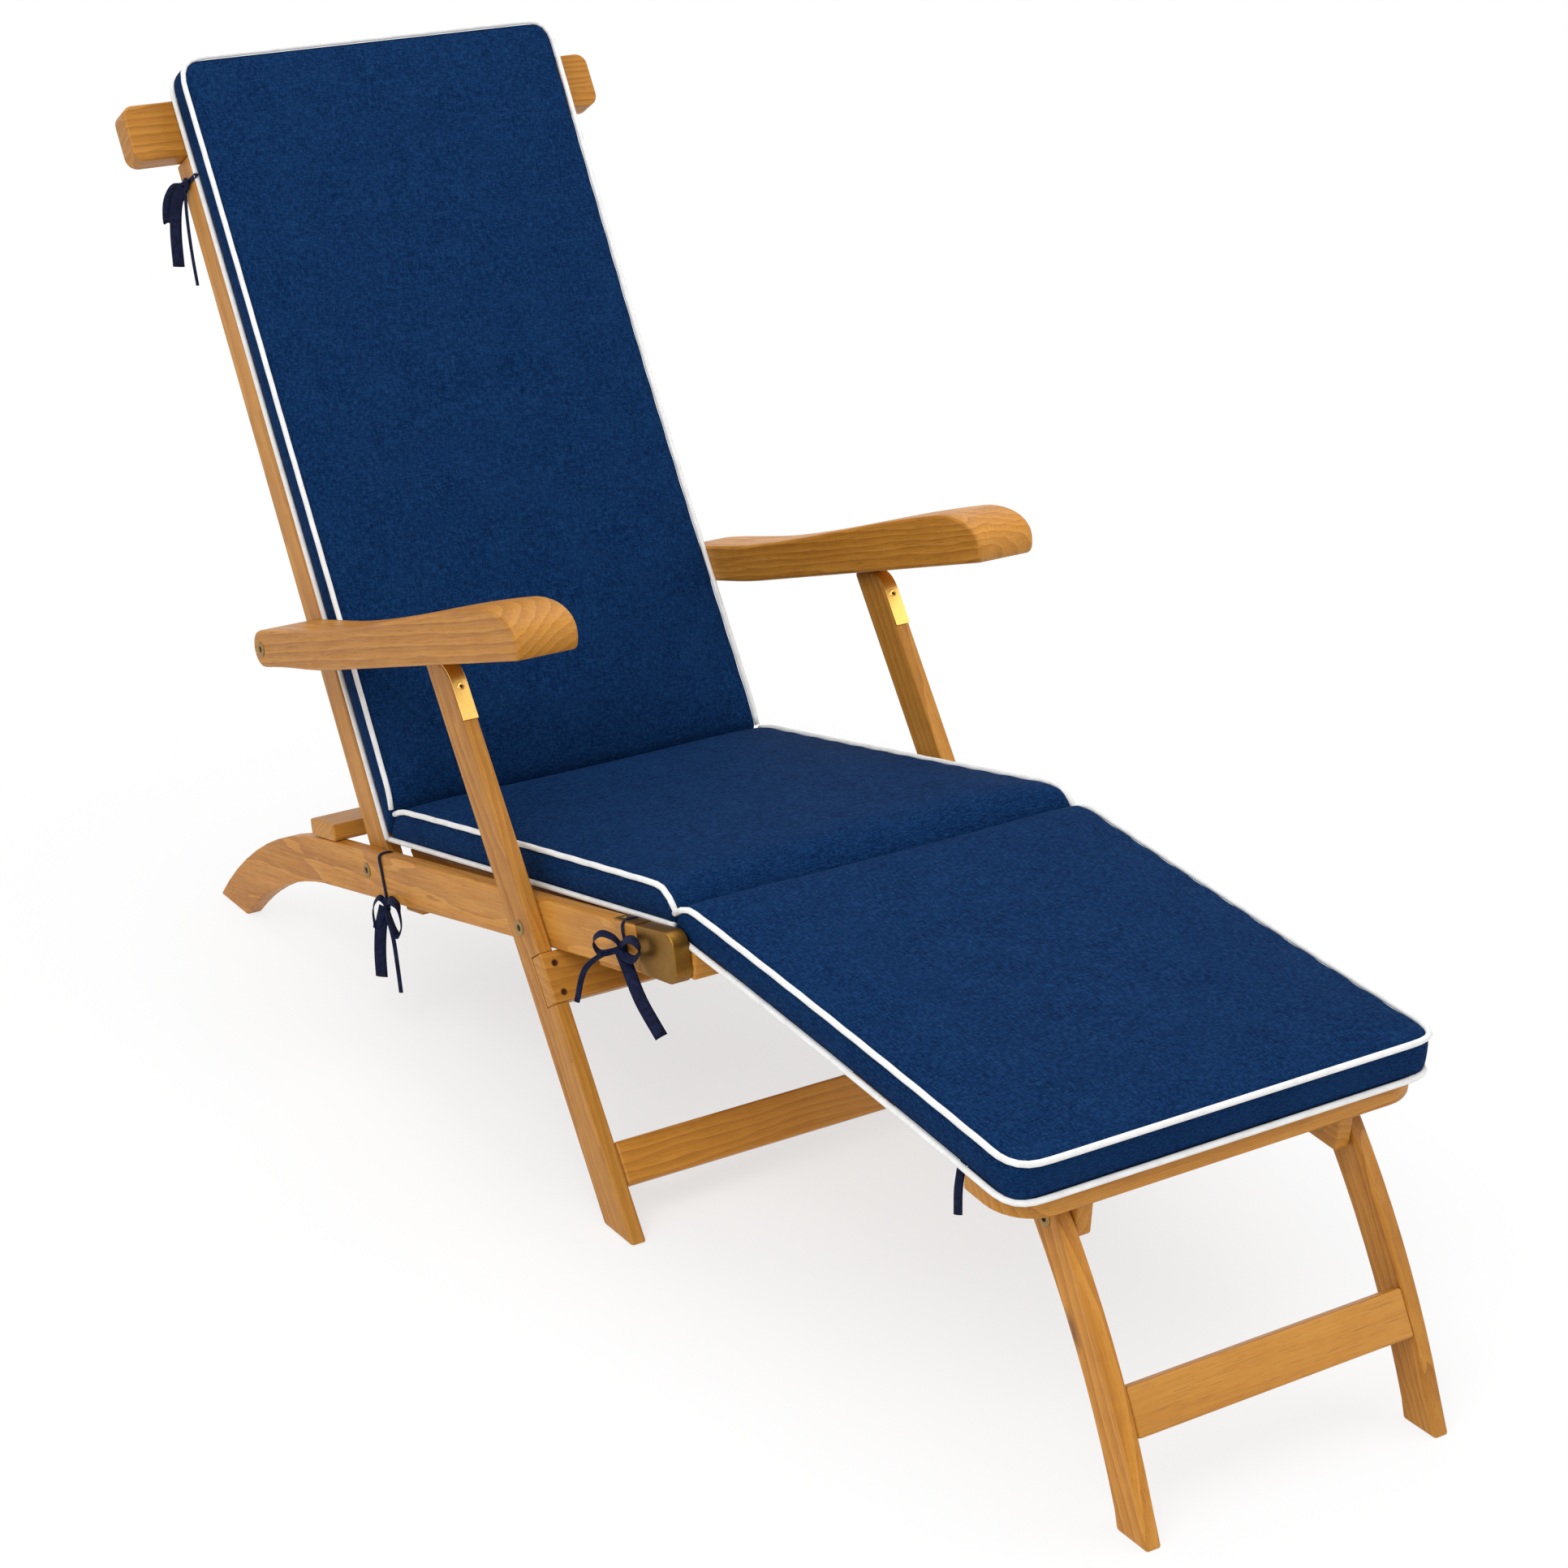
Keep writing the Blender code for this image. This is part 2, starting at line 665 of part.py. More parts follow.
def arm_outline():
    """Side view of an arm: flat underside, waisted top that swells to a rounded nose."""
    rear_top = (0.0, ARM_PIVOT_UP + ARM_REAR_RADIUS)
    waist = (ARM_WAIST_ALONG, ARM_WAIST)
    hump = (ARM_HUMP_ALONG, ARM_HUMP)
    top = [rear_top] + smooth_run(rear_top, waist) + smooth_run(waist, hump)
    chin = (ARM_LENGTH - ARM_CHIN, ARM_NOSE)
    top += quarter_round((ARM_HUMP_ALONG, ARM_NOSE), ARM_LENGTH - ARM_HUMP_ALONG, ARM_HUMP - ARM_NOSE)
    top += quarter_round(chin, ARM_CHIN, -ARM_NOSE)[::-1]
    points = [ARM(along, up) for along, up in top]
    under = smooth_run((ARM_WAIST_ALONG, 0.0), (0.0, ARM_PIVOT_UP - ARM_REAR_RADIUS))
    points += [ARM(ARM_WAIST_ALONG, 0.0)] + [ARM(along, up) for along, up in under]
    turn = math.degrees(ARM.angle)
    points += arc(ARM_PIVOT, ARM_REAR_RADIUS, turn + 90.0, turn + 270.0)[1:-1]
    return points


def build_arms():
    arms = {}
    for name, side in SIDES:
        arms[side] = side_board("arm_" + name, arm_outline(), side * ARM_INNER, side * ARM_OUTER, ARM_AXIS,
                                wood("arm_" + name), ARM_EASE)
    return arms


def floor_end(side):
    """Where a leg's edge meets the floor: side is 1 for its front edge and -1 for its back edge."""
    edge = LEG(0.0, side * LEG_WIDTH / 2)
    return LEG(-edge.y / LEG.along.y, side * LEG_WIDTH / 2)


def leg_top_round(side, radius):
    """Middle of the round that joins the leg's top, level with the arm, to its front or back edge."""
    edge = side * (LEG_WIDTH / 2 - radius)
    top = CROWN_RADIUS - radius - (edge * LEG.up).dot(ARM_DOWN.up)
    return LEG(LINK + top / LEG.along.dot(ARM_DOWN.up), edge)


def leg_outline():
    """Side view of a leg: cut level at the floor and along the arm, with a large round at its top front."""
    level = math.degrees(ARM_DOWN.angle) - 90.0
    back = arc(leg_top_round(-1, LEG_BACK_ROUND), LEG_BACK_ROUND, LEG_SLOPE - 90.0, level)
    front = arc(leg_top_round(1, LEG_TOP_ROUND), LEG_TOP_ROUND, level, LEG_SLOPE + 90.0)
    return back + front + [floor_end(1), floor_end(-1)]


def upper_stretcher_top(face):
    """How far below the leg's pivot the upper stretcher's top comes to rest under the rails."""
    pivot_along, pivot_up = RAIL.read(LEG_PIVOT)
    slope = (rail_bottom(1.0) - rail_bottom(0.0))
    front_along = pivot_along + face * LEG.up.dot(RAIL.along)
    front_up = pivot_up + face * LEG.up.dot(RAIL.up)
    room = -rail_bottom(front_along) - STOP_GAP - front_up
    return room / (LEG.along.dot(RAIL.up) + slope * LEG.along.dot(RAIL.along))


def plate_outline():
    """Side view of the wear plate: over the round at the leg's top and down its front edge."""
    inner = LEG_TOP_ROUND + FIT
    outer = inner + PLATE_THICK
    end = LEG_SLOPE + 90.0
    middle = leg_top_round(1, LEG_TOP_ROUND)
    outside = arc(middle, outer, PLATE_START, end)
    inside = arc(middle, inner, end, PLATE_START)
    face = LEG_WIDTH / 2 + FIT
    foot = LINK - PLATE_DROP
    return outside + [LEG(foot, face + PLATE_THICK), LEG(foot, face)] + inside


def build_legs():
    """Two legs with wear plates, and the two stretchers that join them."""
    legs = {}
    face = LEG_WIDTH / 2 + UPPER_STRETCHER_PROUD
    top = upper_stretcher_top(face)
    housed = (top - UPPER_STRETCHER_DEPTH, top)
    housed_b = (face - UPPER_STRETCHER_THICK, face)
    plank("leg_upper_stretcher", LEG, housed, housed_b, (-LEG_OUTER, LEG_OUTER), LEG_AXIS,
          wood("leg_upper_stretcher"))
    notch_a = (housed[0] - FIT, housed[1] + FIT)
    notch_b = (housed_b[0] - FIT, face + CUT_OVERSHOOT)
    notch_x = (-LEG_OUTER - CUT_OVERSHOOT, LEG_OUTER + CUT_OVERSHOOT)
    notch = plank("leg_notch", LEG, notch_a, notch_b, notch_x, LEG_AXIS, wood("leg_notch"), 0.0, CUTTERS)
    hide_as_cutter(notch)
    for name, side in SIDES:
        leg = side_board("leg_" + name, leg_outline(), side * LEG_INNER, side * LEG_OUTER, LEG_AXIS,
                         wood("leg_" + name))
        cut(leg, notch)
        side_board("leg_plate_" + name, plate_outline(), side * LEG_INNER, side * LEG_OUTER, LEG_AXIS,
                   brass("leg_plate_" + name), PLATE_THICK / 4)
        legs[side] = leg
    low = (-LOWER_STRETCHER_AT - LOWER_STRETCHER_DEPTH / 2, -LOWER_STRETCHER_AT + LOWER_STRETCHER_DEPTH / 2)
    low_b = (LEG_WIDTH / 2 - LOWER_STRETCHER_THICK, LEG_WIDTH / 2)
    inner = LEG_INNER - FIT
    plank("leg_lower_stretcher", LEG, low, low_b, (-inner, inner), LEG_AXIS, wood("leg_lower_stretcher"))
    return legs


def build_footrest():
    """The footrest deck on its hinge bar, and the cleats under it that carry the legs."""
    deck = (DECK_ABOVE_KNEE - FIT - FOOT_DECK_THICK, DECK_ABOVE_KNEE - FIT)
    board_from = FOOT_LENGTH - FOOT_BOARD_WIDTH
    half = HINGE_BAR_WIDTH / 2
    hinge_b = (deck[0] - HINGE_BAR_DROP, deck[1])
    hinge_bar = plank("foot_hinge_bar", FOOT, (-half, half), hinge_b, (-STILE_OUTER, STILE_OUTER), KNEE_AXIS,
                      wood("foot_hinge_bar"))
    outline = rounded_rectangle(FOOT_BOARD_HALF_WIDTH, board_from, FOOT_LENGTH, 0.0, FOOT_BOARD_CORNER)
    flat_board("foot_front_board", outline, FOOT, sum(deck) / 2, FOOT_DECK_THICK, KNEE_AXIS,
               wood("foot_front_board"))
    for number in range(FOOT_SLATS):
        middle = (number - (FOOT_SLATS - 1) / 2) * FOOT_SLAT_SPREAD
        name = f"foot_slat_{number + 1}"
        plank(name, FOOT, (half + FIT, board_from - FIT), deck,
              (middle - FOOT_SLAT_WIDTH / 2, middle + FOOT_SLAT_WIDTH / 2), KNEE_AXIS, wood(name))
    cleats = {}
    cleat_b = (deck[0] - FIT - CLEAT_DEPTH, deck[0] - FIT)
    for name, side in SIDES:
        across = sorted((side * (CLEAT_OUTER - CLEAT_THICK), side * CLEAT_OUTER))
        cleats[side] = plank("foot_cleat_" + name, FOOT, (CLEAT_FROM, CLEAT_TO), cleat_b, across, KNEE_AXIS,
                             wood("foot_cleat_" + name))
    return hinge_bar, cleats


def foot_leg_axis():
    """Length of a footrest leg's middle line, and the side frame along it from the pivot to the floor."""
    frame = SideFrame(FOOT_LEG_PIVOT, 270.0 - FOOT_LEG_LEAN, -90.0)
    return -FOOT_LEG_PIVOT.y / frame.along.y, frame


def foot_leg_bow(along, length):
    """How far the leg bows forward of its straight line."""
    share = along / length
    return 4.0 * FOOT_LEG_BULGE * share * (1.0 - share)


def foot_leg_outline():
    """Side view of a bowed footrest leg: round at its pivot, cut level at the floor."""
    length, frame = foot_leg_axis()
    half = FOOT_LEG_WIDTH / 2
    turn = math.degrees(frame.angle)
    points = arc(FOOT_LEG_PIVOT, half, turn + 90.0, turn + 270.0)
    for edge in (-1, 1):
        run = []
        for step in range(1, ARC_STEPS + 1):
            along = length * step / ARC_STEPS
            run.append(frame(along, foot_leg_bow(along, length) - edge * half))
        foot = run[-1]
        lift = frame.along * (-foot.y / frame.along.y)
        run[-1] = foot + lift
        points += run if edge == -1 else run[::-1]
    return points


def build_foot_legs():
    legs = {}
    length, frame = foot_leg_axis()
    for name, side in SIDES:
        legs[side] = side_board("foot_leg_" + name, foot_leg_outline(), side * FOOT_LEG_INNER,
                                side * FOOT_LEG_HALF_WIDTH, FOOT_LEG_AXIS, wood("foot_leg_" + name))
    face = foot_leg_bow(FOOT_STRETCHER_AT, length) + FOOT_LEG_WIDTH / 2
    half = FOOT_STRETCHER_DEPTH / 2
    inner = FOOT_LEG_INNER - FIT
    plank("foot_leg_stretcher", frame, (FOOT_STRETCHER_AT - half, FOOT_STRETCHER_AT + half),
          (face - FOOT_STRETCHER_THICK, face), (-inner, inner), FOOT_LEG_AXIS, wood("foot_leg_stretcher"))
    return legs


def build_bolts(rails, knuckles, stiles, arms, legs, hinge_bar, cleats, foot_legs):
    """A bolt or pin through each pivot, on both sides."""
    for name, side in SIDES:
        bolt("back_bolt_" + name, side, RAIL_OUTER, STILE_INNER, BACK_PIVOT, BACK_AXIS,
             (rails[side], stiles[side]))
        bolt("arm_bolt_" + name, side, ARM_OUTER, STILE_INNER, ARM_PIVOT, ARM_AXIS,
             (arms[side], stiles[side]))
        bolt("leg_bolt_" + name, side, LEG_OUTER, INSIDE_HALF_WIDTH, LEG_PIVOT, LEG_AXIS,
             (legs[side], rails[side]))
        pin("knuckle_pin_" + name, side, RAIL_OUTER - PIN_COVER, STILE_OUTER - PIN_DEPTH, KNEE, KNEE_AXIS,
            (knuckles[side], hinge_bar))
        bolt("foot_leg_bolt_" + name, side, FOOT_LEG_HALF_WIDTH, CLEAT_OUTER - CLEAT_THICK, FOOT_LEG_PIVOT,
             FOOT_LEG_AXIS, (foot_legs[side], cleats[side]))


def cushion(name, frame, span, level, mitres, joint):
    """A box cushion with a crowned top and drawn-in sides. Its ends are mitred by (start, end)."""
    mesh = bpy.data.meshes.new(name)
    shape = bmesh.new()
    bmesh.ops.create_cube(shape, size=2.0)
    bmesh.ops.subdivide_edges(shape, edges=shape.edges, cuts=CUSHION_CUTS, use_grid_fill=True)
    length = span[1] - span[0]
    for corner in shape.verts:
        across, along, up = corner.co
        level_share = (up + 1.0) / 2
        along_share = (along + 1.0) / 2
        low_share = 1.0 - level_share
        side_pull = CUSHION_DRAW * (1.0 - along * along)
        crown = CUSHION_CROWN * (1.0 - across ** 4) * (1.0 - along ** 4) * level_share
        corner.co.x = across * (CUSHION_HALF_WIDTH - side_pull)
        start = span[0] - mitres[0] * low_share
        end = span[1] + mitres[1] * low_share
        corner.co.y = start + (end - start) * along_share - length / 2
        corner.co.z = (CUSHION_THICK - CUSHION_CROWN) * level_share + crown
    shape.to_mesh(mesh)
    shape.free()
    mesh.shade_smooth()
    mesh.set_sharp_from_angle(angle=math.radians(SHARP_ANGLE))
    item = bpy.data.objects.new(name, mesh)
    place = frame(length / 2, level) - joint.point
    forward = Vector((0.0, *frame.along))
    upward = Vector((0.0, *frame.up))
    turn = Matrix((forward.cross(upward), forward, upward)).transposed()
    item.location = (0.0, place.x, place.y)
    item.rotation_euler = turn.to_euler()
    return finish(item, joint, navy_cloth(name))


def build_cushions():
    """Back, seat and foot sections, mitred where they meet in the two creases."""
    top = CUSHION_THICK - CUSHION_CROWN
    seat_turn = 180.0 - SEAT_SLOPE - BACK_SLOPE
    back_mitre = top / math.tan(math.radians(seat_turn / 2))
    knee_mitre = top * math.tan(math.radians(SEAT_SLOPE + FOOT_DROP))
    back_level = STILE_DEPTH / 2 + FIT
    face_start = SEAT.read(BACK(0.0, back_level + top))[1]
    back_from = (top - face_start) / BACK.along.dot(SEAT.up)
    back_span = (back_from, BACK_CUSHION_TO)
    cushion("back_cushion", BACK, back_span, back_level, (back_mitre, 0.0), BACK_AXIS)
    crease = SEAT.read(BACK(back_from, back_level + top))[0]
    knee = FOOT.read(SEAT(0.0, top))[0]
    seat_end = -(KNEE_CREASE + CREASE_GAP + knee) / SEAT.along.dot(FOOT.along)
    seat_span = (crease + CREASE_GAP, seat_end)
    cushion("seat_cushion", SEAT, seat_span, 0.0, (back_mitre, -knee_mitre), FLOOR)
    foot_span = (CREASE_GAP - KNEE_CREASE, FOOT_LENGTH)
    cushion("foot_cushion", FOOT, foot_span, DECK_ABOVE_KNEE, (0.0, 0.0), KNEE_AXIS)


def tie(name, side, frame, along, route, tail, joint):
    """A flat ribbon: a band through (across, up) points at one place on a frame, then a hanging tail."""
    ends = [(across, frame(along, up), frame.along) for across, up in route]
    last_across, last_point, _ = ends[-1]
    level = Vector((math.copysign(1.0, frame.along.x), 0.0))
    for share in TAIL_SHARES:
        ends.append((last_across + TIE_THICK * share, last_point - Vector((0.0, tail * share)), level))
    shape = bmesh.new()
    rows = []
    for across, point, direction in ends:
        local = point - joint.point
        row = []
        for edge in (-TIE_WIDTH / 2, TIE_WIDTH / 2):
            place = local + edge * direction
            row.append(shape.verts.new((side * across, place.x, place.y)))
        rows.append(row)
    for first, second in zip(rows, rows[1:]):
        shape.faces.new((first[0], first[1], second[1], second[0]))
    mesh = bpy.data.meshes.new(name)
    shape.to_mesh(mesh)
    shape.free()
    item = bpy.data.objects.new(name, mesh)
    finish(item, joint, navy_cloth(name))
    body = item.modifiers.new("thickness", "SOLIDIFY")
    body.thickness = TIE_THICK
    body.offset = 0.0
    return item


def build_ties():
    """Four pairs of ribbons from the cushion's lower edge: on the stiles, rails and footrest."""
    stile_face = STILE_OUTER + TIE_GAP
    rail_face = RAIL_OUTER + TIE_GAP
    cushion_edge = CUSHION_HALF_WIDTH + TIE_GAP
    rear_top = rail_top(REAR_TIE_ALONG) + TIE_OVER
    front_top = RAIL_TOP_FRONT + TIE_OVER
    gully = (CUSHION_HALF_WIDTH + INSIDE_HALF_WIDTH) / 2
    stile_front = STILE_DEPTH / 2
    stile_along = HEADRAIL_FROM - STILE_TIE_BELOW_HEADRAIL
    stile_route = [(cushion_edge, stile_front + TIE_OVER * 2), (stile_face, stile_front), (stile_face, 0.0)]
    rear_route = [(cushion_edge, rear_top), (rail_face, rear_top), (rail_face, -RAIL_BOTTOM_REAR)]
    knee_route = [(gully, rail_front_middle()), (gully, front_top), (rail_face, front_top),
                  (rail_face, -RAIL_BOTTOM_FRONT)]
    under = DECK_ABOVE_KNEE - TIE_GAP
    foot_edge = CUSHION_HALF_WIDTH - TIE_THICK * 3
    foot_along = FOOT_LENGTH - FOOT_BOARD_WIDTH - FOOT_TIE_BEHIND_BOARD
    foot_route = [(CUSHION_HALF_WIDTH - TIE_WIDTH, under), (foot_edge, under - TIE_OVER)]
    for name, side in SIDES:
        tie("stile_tie_" + name, side, BACK, stile_along, stile_route, STILE_TIE_TAIL, BACK_AXIS)
        tie("rear_tie_" + name, side, RAIL, REAR_TIE_ALONG, rear_route, REAR_TIE_TAIL, FLOOR)
        tie("knee_tie_" + name, side, RAIL, KNEE_TIE_ALONG, knee_route, KNEE_TIE_TAIL, FLOOR)
        tie("foot_tie_" + name, side, FOOT, foot_along, foot_route, FOOT_TIE_TAIL, KNEE_AXIS)


def centre_on_floor():
    """Moves the whole chair so that its outline is centred over the origin."""
    bpy.context.view_layer.update()
    lengths = []
    for item in PARTS.objects:
        if item.type == "MESH":
            lengths += [(item.matrix_world @ Vector(corner)).y for corner in item.bound_box]
    FLOOR.empty.location.y = -(min(lengths) + max(lengths)) / 2
    bpy.context.view_layer.update()


def print_joints():
    """Prints each joint's point in the chair's own frame."""
    for joint in (BACK_AXIS, ARM_AXIS, LEG_AXIS, KNEE_AXIS, FOOT_LEG_AXIS):
        place = joint.empty.matrix_world.translation
        print(joint.empty.name, [round(value, 5) for value in place])


rail_pair, knuckle_pair = build_rails()
build_seat()
stile_pair = build_back()
arm_pair = build_arms()
leg_pair = build_legs()
foot_bar, cleat_pair = build_footrest()
foot_leg_pair = build_foot_legs()
build_bolts(rail_pair, knuckle_pair, stile_pair, arm_pair, leg_pair, foot_bar, cleat_pair, foot_leg_pair)
build_cushions()
build_ties()
centre_on_floor()
print_joints()
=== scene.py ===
"""The folding deck chair, dressed: grained wood, brass fittings, a piped cushion and its ribbon ties.

Side views are in (y, z), in metres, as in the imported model. The chair faces -Y.
"""
import json
import math

import bmesh
import bpy
import numpy as np
from mathutils import Matrix, Vector


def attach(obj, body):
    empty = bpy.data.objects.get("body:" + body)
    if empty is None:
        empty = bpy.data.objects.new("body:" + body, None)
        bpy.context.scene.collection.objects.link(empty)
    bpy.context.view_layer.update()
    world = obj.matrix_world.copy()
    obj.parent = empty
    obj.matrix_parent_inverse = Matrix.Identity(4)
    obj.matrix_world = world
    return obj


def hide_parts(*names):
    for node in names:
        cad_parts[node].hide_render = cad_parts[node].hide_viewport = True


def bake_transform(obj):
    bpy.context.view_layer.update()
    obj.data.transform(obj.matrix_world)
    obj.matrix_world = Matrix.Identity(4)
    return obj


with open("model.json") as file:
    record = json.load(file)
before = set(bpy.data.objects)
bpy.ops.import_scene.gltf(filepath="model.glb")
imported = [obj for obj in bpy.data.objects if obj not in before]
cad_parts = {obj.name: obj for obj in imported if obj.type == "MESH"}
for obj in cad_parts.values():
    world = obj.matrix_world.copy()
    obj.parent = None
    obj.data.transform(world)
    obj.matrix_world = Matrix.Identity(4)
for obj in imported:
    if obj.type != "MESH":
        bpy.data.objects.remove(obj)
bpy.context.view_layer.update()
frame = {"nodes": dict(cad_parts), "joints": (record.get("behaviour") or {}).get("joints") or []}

# Slopes of the chair's members in side view, in degrees
RAIL_ANGLE = 168.0
BACK_ANGLE = 58.5
LEG_ANGLE = 54.5
FOOT_ANGLE = 184.5
SEAT_ANGLE = 168.0
ARM_ANGLE = 161.5
FOOT_LEG_ANGLE = 241.4

# Faces across the chair
RAIL_OUTER = 0.2595
LEG_INNER = 0.260
LEG_OUTER = 0.2775
STILE_OUTER = 0.2395
ARM_OUTER = 0.310
FOOT_LEG_OUTER = 0.174
INSIDE = 0.240
SIDES = (("left", -1), ("right", 1))

# Cushion
HALF_WIDTH = 0.2375
BORDER = 0.040
CROWN = 0.006
DRAW = 0.003
CORNER = 0.020
PITCH = 0.012
BORDER_ROWS = 3
BACK_LEVEL = 0.0213
BACK_TO = 0.935
BACK_LIFT = 0.008
BACK_LIFT_FADE = 0.45
FOOT_FROM = -0.028
FOOT_TO = 0.524
DECK_LEVEL = 0.0165
SEAT_LEVEL = 0.0325
CREASE_GAP = 0.0012
BACK_BEND_END = 0.40
FOOT_BEND_END = 0.12
CREASE_REACH = 0.020
BACK_CREASE_DIP = 0.12
SEAT_KNEE_DIP = 0.62
FOOT_KNEE_DIP = 0.38
SWELL_CAP = 0.004
SWELL_PRESSURE = 4.0
SWELL_FRAMES = 20
PUCKER = 0.0009
PUCKER_LENGTH = 0.047
PIPING_RADIUS = 0.0031
PIPING_OUT = 0.0018
PIPING_LIFT = 0.0008
SIDE_BULGE = 0.0025
PIPING_SIDES = 8
SEAM_SMOOTHING = 2
CLOTH_QUALITY = 4
CLOTH_MASS = 0.25
CLOTH_STIFFNESS = 12.0

# Ribbon ties
RIBBON_THICK = 0.0008
RIBBON_GAP = 0.0012
RIBBON_SHARES = (-0.5, -0.25, 0.0, 0.25, 0.5)
CURVE_STEPS = 6
BAND_WIDTH = 0.006
KNEE_BAND_WIDTH = 0.005
FOOT_RIBBON_WIDTH = 0.008
LOOP_WIDTH = 0.010
LOOP_LEAN = (-0.50, 0.80, 0.20)
STILE_LOOP_WIDTH = 0.009
KNEE_TAIL_WIDTHS = (0.006, 0.013)
REAR_TAIL_WIDTHS = (0.014, 0.005)
STILE_TAIL_WIDTHS = (0.014, 0.004)
STILE_KNOT = (0.003, 0.0075, 0.0075)
REAR_KNOT = (0.004, 0.007, 0.007)
KNEE_KNOT = (0.004, 0.0065, 0.0065)
STILE_KNOT_OUT = 0.0025
RAIL_KNOT_OUT = 0.003
KNOT_RIDGE = 0.10
STILE_TIE_ALONG = 0.812
REAR_TIE_ALONG = 0.040
REAR_KNOT_AHEAD = 0.009
KNEE_TIE_ALONG = 0.586
KNEE_KNOT_LEVEL = 0.008
FOOT_TIE_ALONG = 0.436
STILE_FRONT = 0.022
STILE_REAR = 0.0225
RAIL_TOP = 0.0229
RAIL_BOTTOM = 0.0305
RAIL_FRONT_TOP = 0.0321
RAIL_FRONT_BOTTOM = 0.0171
GULLY = 0.2393

# Bolt and screw heads
BOLT_RADIUS = 0.0085
BOLT_PROUD = 0.0012
PLATE_SCREW_RADIUS = 0.0042
PLATE_SCREW_PROUD = 0.0008
PLATE_SCREW_ALONG = 0.254
PLATE_FACE = 0.0243
STRETCHER_SCREWS = (-0.047, -0.078)
STRETCHER_SCREW_ACROSS = 0.264
STRETCHER_SCREW_RADIUS = 0.0036
STRETCHER_SCREW_PROUD = 0.0006
STRETCHER_FACE = 0.0245
FLANGE_FROM = 0.566
FLANGE_TO = 0.6085
FLANGE_INSET = 0.001
FLANGE_LEVELS = (-0.0006, 0.0010)
FLANGE_EASE = 0.0003
FLANGE_SCREW_ALONG = 0.574
FLANGE_SCREW_LEVEL = 0.0009
FLANGE_SCREW_RADIUS = 0.0034
FLANGE_SCREW_PROUD = 0.0010
TURN_STEPS = 32

# Angles, in degrees, past which an edge is shown sharp
FRAME_SHARP = 28.0
HEAD_SHARP = 35.0

# Stage and lights
FLOOR_SIZE = 40.0
FLOOR_LEVEL = -0.0005
FLOOR_FADE_FROM = 0.35
FLOOR_FADE_TO = 1.30
FLOOR_WHITE_NEAR = 0.65
FLOOR_GREY = (0.90, 0.90, 0.90)
FLOOR_PALE = (0.93, 0.93, 0.93)
WORLD_LIGHT = 0.62
LIGHT_TARGET = (0.0, 0.0, 0.4)
LIGHTS = (("key", (-2.2, -1.6, 3.2), 2.2, 70.0), ("fill", (2.6, -2.4, 2.0), 2.6, 28.0),
          ("top", (0.2, 0.8, 3.6), 2.6, 45.0))

# Camera, from a fit to the photograph
CAMERA_AT = (-1.8331, -2.8716, 1.7608)
CAMERA_TOWARDS = (0.49571, 0.78231, -0.37717)
CAMERA_ROLL = -0.1
CAMERA_LENS = 81.0
CAMERA_SENSOR = 36.0
CAMERA_SHIFT = (0.0233, -0.002)


class SideFrame:
    """A side-view frame: a runs along a slope, b runs square to it."""

    def __init__(self, origin, degrees, square):
        angle = math.radians(degrees)
        turn = angle + math.radians(square)
        self.origin = Vector(origin)
        self.along = Vector((math.cos(angle), math.sin(angle)))
        self.up = Vector((math.cos(turn), math.sin(turn)))

    def __call__(self, a, b):
        return self.origin + a * self.along + b * self.up

    def place(self, x, a, b):
        point = self(a, b)
        return Vector((x, point.x, point.y))

    def read(self, point):
        offset = point - self.origin
        return offset.dot(self.along), offset.dot(self.up)


def joint_point(name):
    """A joint's place in side view."""
    for joint in frame["joints"]:
        if joint["name"] == name:
            return Vector(joint["pos_m"][1:])
    raise KeyError(name)


BACK_PIVOT = joint_point("frame_fold")
ARM_PIVOT = joint_point("arm_left_fold")
LEG_PIVOT = joint_point("leg_fold")
KNEE = joint_point("footrest_fold")
FOOT_LEG_PIVOT = joint_point("footrest_leg_fold")
RAIL = SideFrame(BACK_PIVOT, RAIL_ANGLE, -90.0)
BACK = SideFrame(BACK_PIVOT, BACK_ANGLE, 90.0)
LEG = SideFrame(LEG_PIVOT, LEG_ANGLE, 90.0)
FOOT = SideFrame(KNEE, FOOT_ANGLE, -90.0)
SEAT = SideFrame(RAIL(RAIL.read(KNEE)[0] + FOOT_FROM, SEAT_LEVEL), SEAT_ANGLE, -90.0)


def back_crease():
    """How far up the back its cushion's face meets the seat cushion's top seam."""
    start = SEAT.read(BACK(0.0, BACK_LEVEL + BACK_LIFT + BORDER))[1]
    return (BORDER - start) / BACK.along.dot(SEAT.up)


BACK_FROM = back_crease()
BACK_MITRE = BORDER / math.tan(math.radians((SEAT_ANGLE - BACK_ANGLE) / 2))
KNEE_MITRE = BORDER * math.tan(math.radians(FOOT_ANGLE - SEAT_ANGLE))


# Shader nodes

